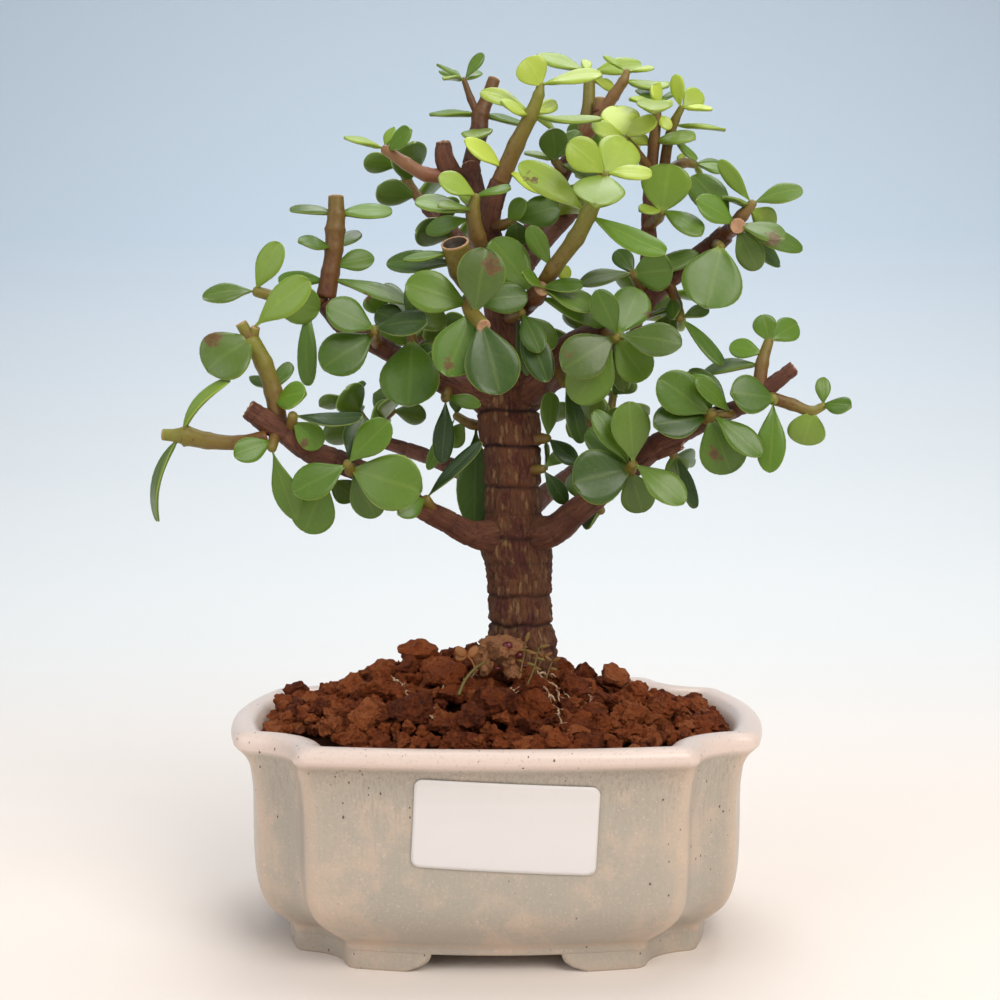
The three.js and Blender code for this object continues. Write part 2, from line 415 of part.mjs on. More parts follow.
    [39, 261.5, 1, 1.6], [40, 264, 1, 1.1]], [[31.5, 252, 3, 1.9], [32, 256.2, 3, 1.8]]],
  [[3, 53.2, 259.7, -3, 7, 55, 0, -25], [4, 48.5, 265.2, 0, 2.8, 45], [4, 32.7, 269, 2, 2.4, 40]]],
  ["top_right_a", 0.55, [[[47.7, 233, -1, 1.9], [48.5, 242.5, -3, 1.8], [49.2, 250, -5, 1.6],
    [49.5, 254.5, -6, 1.2]]],
  [[3, 40.7, 255.6, -3, 5.5, 60], [3, 54.2, 254.6, -2, 4, 60], [3, 48, 252.5, -9, 11, 70],
    [3, 43.4, 258.8, -1, 4.8, 20], [3, 56.2, 258.2, 0, 3.2, 55], [3, 48, 260.3, 5, 9, 35],
    [0.9, 41.5, 244.6, 3, 4.5, 25], [2.2, 53.7, 246.8, 1, 4, 20], [1, 61.3, 244.2, -4, 7.8, 25]]],
  ["top_right_b", 0.6, [[[51.5, 233.5, -1, 1.8], [53, 243.5, -2, 1.6], [55, 249.5, -3, 1.4],
    [56.8, 253, -4, 1.1]]],
  [[3, 55.3, 263.6, -1, 5, 5, -30], [3, 62.8, 258, -1, 7, 5], [3, 66.4, 252.6, 0, 4, 60],
    [1.7, 70.6, 246.4, 2, 5, 65], [1.4, 61.8, 237.3, -2, 4.5, 20, 40, -30]]],
  ["right_cluster", 0.4, [[[51, 233, -1, 1.7], [58, 236.5, 4, 1.6], [61, 236, 5, 1.3]]],
  [[1, 55.8, 238.6, -1, 4, 20], [2, 70.4, 233.6, -2, 5, 40], [2, 69.5, 236.8, 2, 4, 50],
    [2, 63, 231.8, 0, 3.5, 10]]],
  ["leaf_pair", 0.45, [[[46.8, 217, -4, 1.9], [50, 219.8, -12, 1.7], [51, 221.5, -16, 1.4]]],
  [[2, 53, 236.3, -3, 15, 0], [2, 63.6, 214.5, -6, 8.8, 40], [2, 44, 221.8, -4, 6, 45]]],
  ["right_top", 0.45, [[[71, 215, -10, 2.3], [76, 220.5, -12, 2], [79, 224, -13, 1.5]]],
  [[2, 68.7, 237.5, -2, 5, 25, -45], [2, 94.6, 228.3, -1, 7.5, 35], [1.7, 70, 226, -4, 7, 40],
    [1.6, 85.5, 217, 6, 8, 0]]],
  ["right_cut", 0.4, [[[71, 215, -12, 2.4], [74, 217, -17, 2.4], [74.6, 217.2, -20, 2.3]]],
  [[1, 61.3, 225, -4, 9.5, 30], [1.3, 89.3, 213.6, -5, 9, 40], [0.8, 94.5, 209.8, 6, 6.8, 20],
    [1, 81, 203.6, 0, 8.5, -15], [0.7, 87.5, 205, 4, 6.5, 0], [0.7, 60.5, 232.5, 6, 11, 0]]],
  ["round_right", 0.3, [[[68, 211.5, -10, 2.2], [69, 210.5, -18, 1.7]]],
  [[1, 64.5, 191.6, -5, 18.5, -5]]],
  ["right_inner", 0.2, [[[45.5, 196.5, -9, 1.9], [42.5, 202.5, -16, 1.7]]],
  [[1, 54.6, 204, -4, 12, -10], [1, 25.6, 199.6, -2, 7.5, 40], [0.9, 37, 209.5, 4, 6.5, 10],
    [0.8, 62.5, 208.7, 10, 6.5, 20]]],
  ["right_under", 0.2, [[[53, 200.5, -9, 1.7], [56, 193, -15, 1.5], [57, 188.5, -18, 1.3]]],
  [[2, 69.7, 173.7, -3, 7, 5, 40], [0.6, 55.3, 188.3, -6, 5, 10, -40], [2, 65.7, 191.8, 3, 5, 30],
    [1.3, 50.5, 183, 5, 7.5, 0], [1.2, 41, 186.3, 8, 4.5, 30]]],
  ["crown_inner", 0.15, [[[-2.5, 217, -6, 1.9], [2, 217.5, -11, 1.6], [5, 219, -13, 1.3]]],
  [[2, 19.3, 222.5, 1, 10.5, -5], [2, 7, 211, 5, 8, 10], [1.5, 9, 225, -1, 6.5, 30]]],
];

// Limbs and leaves are laid out as seen from the front: u and v are where the line of sight from
// EYE crosses the plane of the trunk, and the depth is how far behind that plane the point lies.
const EYE = new THREE.Vector3(1, -428, 151);

function place(u, v, depth) {
  const far = 1 - depth / EYE.y;
  return new THREE.Vector3(EYE.x + (u - EYE.x) * far, depth, EYE.z + (v - EYE.z) * far);
}

function limbPoints(rows) {
  return rows.map(([u, v, depth, r]) => ({ p: place(u, v, depth), r }));
}

// A point at a station along a limb: 1.5 is half way from its second point to its third.
function along(limb, station) {
  const k = Math.min(Math.floor(station), limb.length - 2);
  const [a, b] = [limb[k], limb[k + 1]];
  const t = station - k;
  return { p: a.p.clone().lerp(b.p, t), r: a.r + (b.r - a.r) * t };
}

// A round tube through a limb's points, smoothed, with flat ends. fat swells it all round, and over
// is how far it runs on past its last point.
function tube(limb, sides, step, fat = 0, over = 0) {
  const path = new THREE.CatmullRomCurve3(limb.map((q) => q.p));
  const count = Math.max(limb.length - 1, Math.round(path.getLength() / step));
  const lean = new THREE.Vector3(0.31, 0.87, 0.38);
  const rings = [];
  for (let i = 0; i <= count; i++) {
    const t = i / count;
    const centre = path.getPoint(t);
    const way = path.getTangent(t);
    if (i === 0) centre.addScaledVector(way, -fat);
    if (i === count) centre.addScaledVector(way, fat + over);
    const side = lean.clone().addScaledVector(way, -lean.dot(way)).normalize();
    const up = way.clone().cross(side);
    const r = along(limb, t * (limb.length - 1)).r + fat;
    rings.push(Array.from({ length: sides }, (_, k) => {
      const turn = (2 * Math.PI * k) / sides;
      return centre.clone().addScaledVector(side, r * Math.cos(turn)).addScaledVector(up, r * Math.sin(turn));
    }));
  }
  return loft(rings);
}

// A leaf blade's half width along its length, as parts of its widest. Both ends are points.
const BLADE = [[0.3, 0.58], [0.6, 1], [0.86, 0.78]];
const BLADE_SMALL = [[0.4, 0.84], [0.8, 0.88]];
const SPINE = [0.36, 0.68];
const SPINE_SMALL = [0.56];
const SMALL_LEAF = 14.5;
const LEAF_BEND = 14;
const LEAF_CUP = 0.07;

function leafFrame(leaf) {
  const way = leaf.tip.clone().sub(leaf.base);
  const length = way.length();
  way.divideScalar(length);
  const lift = (leaf.lift * Math.PI) / 180;
  const turn = (leaf.turn * Math.PI) / 180;
  const flat = Math.cos(lift);
  const face = new THREE.Vector3(Math.sin(turn) * flat, -Math.cos(turn) * flat, Math.sin(lift));
  face.addScaledVector(way, -face.dot(way)).normalize();
  return { way, length, face, side: way.clone().cross(face) };
}

// A point of the blade at a part t of its length and a part s of its half width at that place.
function bladePoint(leaf, frame, t, s, half) {
  const sag = frame.length * Math.tan((leaf.bend * Math.PI) / 720) * 2 * t * (1 - t);
  const cup = LEAF_CUP * leaf.width * s * s;
  return leaf.base.clone()
    .addScaledVector(frame.way, frame.length * t)
    .addScaledVector(frame.side, s * half)
    .addScaledVector(frame.face, sag + cup);
}

// A fleshy blade: thick along the middle, its rim an edge. fat swells it for cutting clear.
function blade(leaf, fat = 0) {
  const frame = leafFrame(leaf);
  const small = frame.length < SMALL_LEAF || leaf.hidden;
  const table = small ? BLADE_SMALL : BLADE;
  const half = leaf.width / 2 + fat;
  const thick = Math.min(1.05, 0.5 + leaf.width * 0.045) + fat;
  const root = bladePoint(leaf, frame, -fat / frame.length, 0, 0);
  const left = table.map(([t, w]) => bladePoint(leaf, frame, t, -1, w * half));
  const tip = bladePoint(leaf, frame, 1 + fat / frame.length, 0, 0);
  const right = table.map(([t, w]) => bladePoint(leaf, frame, t, 1, w * half)).reverse();
  const spine = (small ? SPINE_SMALL : SPINE).map((t) => bladePoint(leaf, frame, t, 0, 0));
  const top = spine.map((p) => p.clone().addScaledVector(frame.face, thick));
  const low = spine.map((p) => p.clone().addScaledVector(frame.face, -thick));
  const points = [root, ...left, tip, ...right, ...top, ...low];
  const rim = 2 * table.length + 2;
  const m = spine.length;
  // Each rim point goes to the nearer spine point, and the spine's own edge closes the rest.
  const near = (i) => (m > 1 && i > 1 && i < rim - 1 ? 1 : 0);
  const index = [];
  for (let i = 0; i < rim; i++) {
    const j = (i + 1) % rim;
    const [a, b] = [near(i), near(j)];
    index.push(i, rim + a, j, i, j, rim + m + a);
    if (a !== b) index.push(j, rim + a, rim + b, j, rim + m + b, rim + m + a);
  }
  const g = new THREE.BufferGeometry().setFromPoints(points);
  g.setIndex(index);
  return g;
}

// Points all over a leaf's middle sheet, by which it is kept clear of its neighbours.
function leafSamples(leaf) {
  const frame = leafFrame(leaf);
  const out = [];
  for (const [t, w] of [[0.3, 0.55], [0.5, 0.9], [0.7, 0.97], [0.92, 0.6]]) {
    for (const s of [-0.85, 0, 0.85]) out.push(bladePoint(leaf, frame, t, s, (w * leaf.width) / 2));
  }
  return out;
}

const CLEAR = 2.7;
const STEM_CLEAR = 1.5;
const DEPTH_MOVES = [0, -2, 2, -4, 4, -6, 6, -8, 8, -11, 11, -14, 14];
const LIFT_MOVES = [0, -18, 18, -36, 36];

// How much a leaf crowds what stands: the squares of the shortfalls of its clear distances.
function crowding(samples, balls) {
  let sum = 0;
  for (const s of samples) {
    for (const ball of balls) {
      const short = ball.r - s.distanceTo(ball.p);
      if (short > 0) sum += short * short;
    }
  }
  return sum;
}

// Bends each leaf clear of the limbs and of the leaves before it: its tip goes forward or back
// along the line of sight, and its blade rolls, by as little as will do.
function bendClear(shoots, limbs) {
  const standing = [];
  const addLimb = (limb, owner) => {
    for (let s = 0; s <= limb.length - 1; s += 0.25) {
      const q = along(limb, s);
      standing.push({ p: q.p, r: q.r + STEM_CLEAR, owner });
    }
  };
  limbs.forEach((limb) => addLimb(limb, -1));
  shoots.forEach((shoot, owner) => shoot.stems.forEach((limb) => addLimb(limb, owner)));
  shoots.forEach((shoot, owner) => {
    for (const leaf of shoot.leaves) {
      const reach = leafFrame(leaf).length + 16;
      const close = standing.filter((b) => b.p.distanceTo(leaf.base) < reach
        && (b.owner !== owner || b.leaf));
      let best = null;
      for (const move of DEPTH_MOVES) {
        for (const roll of LIFT_MOVES) {
          const far = (leaf.tip.y + move - EYE.y) / (leaf.tip.y - EYE.y);
          const tried = { ...leaf, lift: leaf.lift + roll };
          tried.tip = leaf.tip.clone().sub(EYE).multiplyScalar(far).add(EYE);
          const effort = 0.05 * Math.abs(move) + 0.006 * Math.abs(roll);
          const score = crowding(leafSamples(tried), close) + effort;
          if (!best || score < best.score - 1e-6) best = { score, tried };
        }
        if (best.score < 0.05 * Math.abs(move)) break;
      }
      Object.assign(leaf, best.tried);
      for (const p of leafSamples(leaf)) standing.push({ p, r: CLEAR, owner, leaf: true });
    }
  });
}

function readShoot([name, youth, stems, leaves]) {
  const limbs = stems.map(limbPoints);
  return {
    name, youth, stems: limbs,
    leaves: leaves.map(([station, u, v, deep, width, lift, turn = 0, bend = LEAF_BEND]) => {
      const base = along(limbs[Math.floor(station / 10)], station % 10).p;
      return { base, tip: place(u, v, base.y + deep), width, lift, turn, bend };
    }),
  };
}

// Shoots that the front doesn't show, by rule: each grows out and up from a point of a back limb,
// with pairs of leaves, each pair at right angles to the one below it. Some have a side twig at
// their first pair. A row is the limb, the station on it, and the pairs on the stem and the twig.
const BACK_SHOOTS = [
  [13, 1.7, 3, 0], [13, 3, 3, 2], [14, 1.7, 2, 0], [14, 3, 3, 2], [15, 1.7, 2, 0], [15, 3, 3, 0],
  [16, 1.6, 2, 0], [16, 3, 3, 0], [17, 3, 3, 2], [18, 3, 3, 2],
];
// Stem and twig radii where they start, what each pair takes off them, and the size of tip leaves.
const BACK_STEM_R = 2;
const BACK_TWIG_R = 1.7;
const STEM_TAPER = 0.22;
const TIP_LEAF = 0.72;
const NODE_SPACING = 7.5;

function growBackShoot([limbIndex, station, pairs, twigPairs], i, limbs) {
  const draw = draws(700 + 37 * i);
  const start = along(limbs[limbIndex], station === 3 ? 2.9 : station).p;
  const leaves = [];

  function grow(from, radius, way, count) {
    const stem = [{ p: from, r: radius }];
    let ring = draw(0, 3);
    for (let k = 1; k <= count; k++) {
      way.z += 0.12;
      way.normalize();
      const p = stem.at(-1).p.clone().addScaledVector(way, NODE_SPACING * draw(0.8, 1.1));
      stem.push({ p, r: radius - k * STEM_TAPER });
      const side = new THREE.Vector3(0, 0, 1).cross(way).normalize();
      const up = way.clone().cross(side);
      const size = k === count ? TIP_LEAF : 1;
      for (const half of [0, Math.PI]) {
        const out = side.clone().multiplyScalar(Math.cos(ring + half))
          .addScaledVector(up, Math.sin(ring + half)).addScaledVector(way, 0.45).normalize();
        out.z *= 0.75;
        const length = size * draw(13.5, 17.5);
        const turn = (Math.atan2(p.x, -p.y) * 180) / Math.PI;
        leaves.push({
          base: p, tip: p.clone().addScaledVector(out, length), width: length * draw(0.68, 0.85),
          lift: draw(25, 60), turn, bend: LEAF_BEND, hidden: true,
        });
      }
      ring += Math.PI / 2 + draw(-0.3, 0.3);
    }
    return stem;
  }

  const way = new THREE.Vector3(start.x * 0.5, 22, 0).normalize();
  way.add(new THREE.Vector3(draw(-0.4, 0.4), draw(-0.3, 0), draw(0.6, 1.1))).normalize();
  const turned = i % 2 ? 1 : -1;
  const aside = new THREE.Vector3(way.y * turned, -way.x * turned, 0.25);
  const stems = [grow(start, BACK_STEM_R, way, pairs)];
  if (twigPairs) stems.push(grow(stems[0][1].p, BACK_TWIG_R, aside, twigPairs));
  return { name: "back_" + (i + 1), youth: draw(0.15, 0.6), stems, leaves };
}

const TRUNK_SCARS = [93, 102.5, 137, 149, 160];
const SCAR_DEPTH = 0.55;

// The trunk's rings are set close above and below each leaf scar, which nips it in.
function trunkTube(limb, fat = 0) {
  const levels = [limb[0].p.z, 78, 87, 98, 107, 113, 119, 125, 131, 143, 154, 165];
  for (const z of TRUNK_SCARS) levels.push(z - 1.3, z, z + 1.3);
  levels.sort((a, b) => a - b);
  const rings = levels.map((z, k) => {
    const i = Math.max(1, limb.findIndex((q) => q.p.z >= z));
    const t = (z - limb[i - 1].p.z) / (limb[i].p.z - limb[i - 1].p.z);
    const p = limb[i - 1].p.clone().lerp(limb[i].p, t);
    const scar = TRUNK_SCARS.includes(z) && !fat ? SCAR_DEPTH : 0;
    const r = limb[i - 1].r + (limb[i].r - limb[i - 1].r) * t - scar + fat;
    const foot = fat && k === 0 ? fat : 0;
    return Array.from({ length: TRUNK_SIDES }, (_, s) => {
      const turn = (2 * Math.PI * s) / TRUNK_SIDES;
      const bump = 1 + 0.04 * Math.sin(2 * turn + z * 0.11) + 0.025 * Math.sin(5 * turn + z * 0.05);
      return new THREE.Vector3(p.x + r * bump * Math.cos(turn), p.y + r * bump * Math.sin(turn), z - foot);
    });
  });
  return loft(rings);
}

const TRUNK_SIDES = 10;
const TRUNK_TOP = 10;
const LIMB_SIDES = 6;
const LIMB_STEP = 16;

function woodSolid(limbs, fat = 0) {
  const leader = tube(limbs[0].slice(TRUNK_TOP - 1), LIMB_SIDES, LIMB_STEP, fat);
  let wood = toSolid(trunkTube(limbs[0], fat)).add(toSolid(leader));
  limbs.slice(1).forEach((limb) => {
    wood = wood.add(toSolid(tube(limb, LIMB_SIDES, LIMB_STEP, fat)));
  });
  return wood;
}

// A stem ends just past its last pair of leaves, so their roots are sunk in it.
const STEM_STEP = 13;
const THIN_STEM = 2.15;
const STEM_OVER = 1.2;

function shootSolid(shoot, fat = 0) {
  let solid = null;
  for (const limb of shoot.stems) {
    const stem = toSolid(tube(limb, limb[0].r < THIN_STEM ? 4 : 5, STEM_STEP, fat, STEM_OVER));
    solid = solid ? solid.add(stem) : stem;
  }
  for (const leaf of shoot.leaves) solid = solid.add(toSolid(blade(leaf, fat)));
  return solid;
}

const COLOURS = {
  pot: "#c9c2b4", soil: "#6e3a26", label: "#eef0f2", wood: "#5b3526", old: "#3f6a2a", young: "#9cc23a",
};

function finish(colour, roughness) {
  return new THREE.MeshStandardMaterial({ color: new THREE.Color(colour), roughness, metalness: 0 });
}

function build() {
  const group = new THREE.Group();
  const add = (name, solid, material) => group.add(toMesh(name, solid, material));
  const limbs = WOOD.map(limbPoints);
  const shoots = SHOOTS.map(readShoot);
  BACK_SHOOTS.forEach((row, i) => shoots.push(growBackShoot(row, i, limbs)));
  bendClear(shoots, limbs);

  const trunkHole = toSolid(trunkTube(limbs[0], GAP));
  add("pot", makePot(), finish(COLOURS.pot, 0.35));
  add("soil", makeSoil(trunkHole), finish(COLOURS.soil, 0.95));
  add("label", makeLabel(), finish(COLOURS.label, 0.5));
  add("wood", woodSolid(limbs), finish(COLOURS.wood, 0.85));

  // Each shoot is cut clear of the wood that it is seated on, and of any leaf that it still meets.
  const seat = woodSolid(limbs, GAP);
  const placed = [];
  for (const shoot of shoots) {
    let solid = shootSolid(shoot).subtract(seat);
    for (const other of placed) {
      if (solid.intersect(other.solid).volume() > 1e-4) {
        other.fat ??= shootSolid(other.shoot, GAP);
        solid = solid.subtract(other.fat);
      }
    }
    solid = mainBody(solid);
    placed.push({ shoot, solid });
    const colour = new THREE.Color(COLOURS.old).lerp(new THREE.Color(COLOURS.young), shoot.youth);
    add("shoot_" + shoot.name, solid, finish(colour, 0.45));
  }
  return group;
}

export default build();
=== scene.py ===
import functools
import math

import bmesh
import bpy
import numpy as np
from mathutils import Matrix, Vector, noise


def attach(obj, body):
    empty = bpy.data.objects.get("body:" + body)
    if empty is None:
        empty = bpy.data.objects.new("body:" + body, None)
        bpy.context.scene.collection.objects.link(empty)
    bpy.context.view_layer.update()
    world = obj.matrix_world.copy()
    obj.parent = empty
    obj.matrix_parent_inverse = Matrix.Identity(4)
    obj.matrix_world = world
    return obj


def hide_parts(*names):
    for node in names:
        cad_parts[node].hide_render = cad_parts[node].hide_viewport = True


bl_info = {
    "name": "Dwarf Jade Bonsai",
    "version": (1, 0, 0),
    "blender": (4, 5, 0),
    "location": "3D View > Sidebar > Bonsai",
    "description": "Dresses a small potted jade tree with fine leaves, bark, soil grains and a glazed pot",
    "category": "Object",
}

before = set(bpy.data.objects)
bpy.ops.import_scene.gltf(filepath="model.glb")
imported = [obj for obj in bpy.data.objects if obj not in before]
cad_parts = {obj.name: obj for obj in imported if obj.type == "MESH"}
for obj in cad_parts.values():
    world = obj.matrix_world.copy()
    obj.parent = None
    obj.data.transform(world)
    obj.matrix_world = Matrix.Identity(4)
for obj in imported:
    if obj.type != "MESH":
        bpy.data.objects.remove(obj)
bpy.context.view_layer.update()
MM = 0.001
BODY = "root"


def linear(colour):
    """A colour written as sRGB hex, as linear RGBA."""
    parts = [int(colour[i:i + 2], 16) / 255 for i in (1, 3, 5)]
    return tuple(c / 12.92 if c <= 0.04045 else ((c + 0.055) / 1.055) ** 2.4 for c in parts) + (1.0,)


def colour_prop(name, description, default):
    return bpy.props.FloatVectorProperty(
        name=name, description=description, default=linear(default), size=4, min=0, max=1, subtype="COLOR")


def length_prop(name, description, default_mm):
    return bpy.props.FloatProperty(
        name=name, description=description, default=default_mm * MM, min=0, unit="LENGTH", precision=5)


class PotSettings(bpy.types.PropertyGroup):
    lip: colour_prop("Lip glaze", "Pinkish cream where the glaze runs thin over the rim", "#dcc8bc")
    wall: colour_prop("Wall glaze", "Grey-beige of the wall", "#aaa193")
    pool: colour_prop("Pooled glaze", "Grey-green where the glaze lies thick under the rim", "#96897b")
    # Edge glaze also colours the painted highlight along the plinth.
    edge: colour_prop("Edge glaze", "Peach where the glaze breaks over ridges and feet", "#cbb39d")
    speck: colour_prop("Iron speck", "Dark brown iron specks in the glaze", "#3a2a22")
    speck_size: length_prop("Speck spacing", "Mean distance between iron specks", 1.7)
    streak_width: length_prop("Streak width", "Width of the faint runs in the glaze", 0.8)


class SoilSettings(bpy.types.PropertyGroup):
    grain: colour_prop("Grain", "Red-brown of most baked clay grains", "#95481e")
    pale_grain: colour_prop("Pale grain", "Ochre-red of the freshly broken grains", "#b1673a")
    # Dark grain is also part of the painted shade on the bed in the gaps, darkened further there.
    dark_grain: colour_prop("Dark grain", "Dark red-brown of damp grains and gaps", "#562511")
    small: length_prop("Smallest grain", "Width of the smallest grain", 3.6)
    large: length_prop("Largest grain", "Width of the largest grain", 10.5)
    grains: bpy.props.IntProperty(
        name="Grains", description="How many grains cover the bed", default=1020, min=50, max=1200)
    root: colour_prop("Dry root", "Pale tan of the fine roots on the soil", "#cbb08f")


class BarkSettings(bpy.types.PropertyGroup):
    bark: colour_prop("Bark", "Reddish brown of the trunk", "#643b23")
    ridge: colour_prop("Bark ridge", "Ochre-grey of the raised fibres", "#8f6c48")
    # Bark crease also colours the painted shade in the low plates of the trunk.
    crease: colour_prop("Bark crease", "Near-black red of scars and creases", "#2a1412")
    branch: colour_prop("Young bark", "Dark maroon of the branches", "#5a2f1f")
    cut: colour_prop("Cut wood", "Tan of a pruned end", "#c9a27c")
    fibre: length_prop("Fibre width", "Width of one strand of bark", 0.8)


class LeafSettings(bpy.types.PropertyGroup):
    old: colour_prop("Old leaf", "Deep green of a grown leaf", "#1f3908")
    middle: colour_prop("Middle leaf", "Fresh green of a leaf that is still growing", "#597c18")
    young: colour_prop("Young leaf", "Yellow-green of a leaf at a tip", "#b9cc48")
    under: colour_prop("Underside", "Paler green of the lower face", "#52701f")
    rim: colour_prop("Leaf rim", "Pale see-through edge of a leaf", "#adbe58")
    scorch: colour_prop("Old spots", "Brown of the corky spots on old leaves", "#6b4a22")
    stem: colour_prop("Green stem", "Olive green of a young stem", "#7a7a2a")
    flush: colour_prop("Stem flush", "Red-brown of a stem where it turns woody", "#683620")
    vein_gap: length_prop("Vein gap", "Distance between the faint side veins", 2.2)
    gloss: bpy.props.FloatProperty(
        name="Gloss", description="How waxy the leaves are", default=0.6, min=0, max=1, subtype="FACTOR")


class LabelSettings(bpy.types.PropertyGroup):
    paper: colour_prop("Paper", "White of the blank paper sticker", "#ddd8d6")
    width: length_prop("Width", "Width of the sticker", 51.0)
    height: length_prop("Height", "Height of the sticker", 25.0)


class StudioSettings(bpy.types.PropertyGroup):
    floor: colour_prop("Floor", "Pale cream of the floor", "#ebe0d7")
    wall: colour_prop("Lower backdrop", "Off-white where the floor turns up", "#e9ebea")
    haze: colour_prop("Backdrop", "Pale blue of the backdrop's upper part", "#cbdae8")
    lens: bpy.props.FloatProperty(
        name="Focal length", description="Lens for a 36 mm wide sensor", default=49.43, min=10, unit="CAMERA")
    pitch: bpy.props.FloatProperty(
        name="Camera tilt", description="How far the camera looks down", default=math.radians(2.5),
        subtype="ANGLE")


# Settings that many nodes share.
BLEND = {"data_type": "RGBA"}
SMOOTH = {"interpolation_type": "SMOOTHSTEP"}
ADD = {"operation": "ADD"}
MULTIPLY = {"operation": "MULTIPLY"}
MULTIPLY_ADD = {"operation": "MULTIPLY_ADD"}
MAXIMUM = {"operation": "MAXIMUM"}
LESS_THAN = {"operation": "LESS_THAN"}
SUBTRACT = {"operation": "SUBTRACT"}
MULTIPLY_CLAMPED = {"operation": "MULTIPLY", "use_clamp": True}
ADD_CLAMPED = {"operation": "ADD", "use_clamp": True}
SUBTRACT_CLAMPED = {"operation": "SUBTRACT", "use_clamp": True}
MULTIPLY_ADD_CLAMPED = {"operation": "MULTIPLY_ADD", "use_clamp": True}


def add_node(tree, kind, settings=None, *values, **named):
    """Adds a node. An input is a value, a socket, or a node whose first live output is linked."""
    node = tree.nodes.new("ShaderNode" + kind)
    for key, value in (settings or {}).items():
        setattr(node, key, value)
    inputs = list(enumerate(values)) + [(key.replace("_", " "), value) for key, value in named.items()]
    for key, value in inputs:
        if isinstance(value, bpy.types.Node):
            value = next(out for out in value.outputs if out.enabled)
        if isinstance(value, bpy.types.NodeSocket):
            tree.links.new(value, node.inputs[key])
        else:
            node.inputs[key].default_value = value
    return node


def new_material(name):
    """A bare material, the function that adds nodes to it, and its place socket, in metres."""
    material = bpy.data.materials.new(name)
    material.use_nodes = True
    material.node_tree.nodes.clear()
    node = functools.partial(add_node, material.node_tree)
    return material, node, node("TexCoord").outputs["Object"]


def new_mesh(name, points, faces, materials, smooth=True):
    """A mesh object, linked to the scene. points are in millimetres."""
    mesh = bpy.data.meshes.new(name)
    mesh.from_pydata((np.asarray(points, float) * MM).tolist(), [], faces)
    for material in materials:
        mesh.materials.append(material)
    mesh.polygons.foreach_set("use_smooth", [smooth] * len(mesh.polygons))
    mesh.update()
    obj = bpy.data.objects.new(name, mesh)
    bpy.context.scene.collection.objects.link(obj)
    return obj


def apply_modifiers(obj, context):
    """Gives the object the mesh that its modifiers make, and returns it."""
    evaluated = obj.evaluated_get(context.evaluated_depsgraph_get())
    mesh = bpy.data.meshes.new_from_object(evaluated)
    obj.modifiers.clear()
    obj.data = mesh
    return mesh


def read_vertices(mesh, name):
    """The vertices' places or normals, as rows of x, y and z."""
    values = np.empty(len(mesh.vertices) * 3)
    mesh.vertices.foreach_get(name, values)
    return values.reshape(-1, 3)


def paint(obj, name, values):
    """Stores one colour a vertex, for the material to read."""
    layer = obj.data.color_attributes.new(name, "FLOAT_COLOR", "POINT")
    rgba = np.ones((len(obj.data.vertices), 4), np.float32)
    rgba[:, :np.shape(values)[1]] = values
    layer.data.foreach_set("color", rgba.ravel())


def seat(obj, slot, *nodes):
    """obj stands for these CAD nodes, which are hidden, and rides on the body. slot is not used."""
    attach(obj, BODY)
    if nodes:
        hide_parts(*nodes)
    return obj


def smooth_noise(points, scale_mm, seed=0.0):
    """Perlin noise from -1 to 1 at each point, with bumps of about that size."""
    return np.array([noise.noise(Vector((p / scale_mm) + seed)) for p in points])


def draws(seed):
    """A seeded random draw, the same on every run."""
    state = [seed]

    def draw(low, high):
        state[0] = (state[0] * 16807) % 2147483647
        return low + (high - low) * state[0] / 2147483647
    return draw
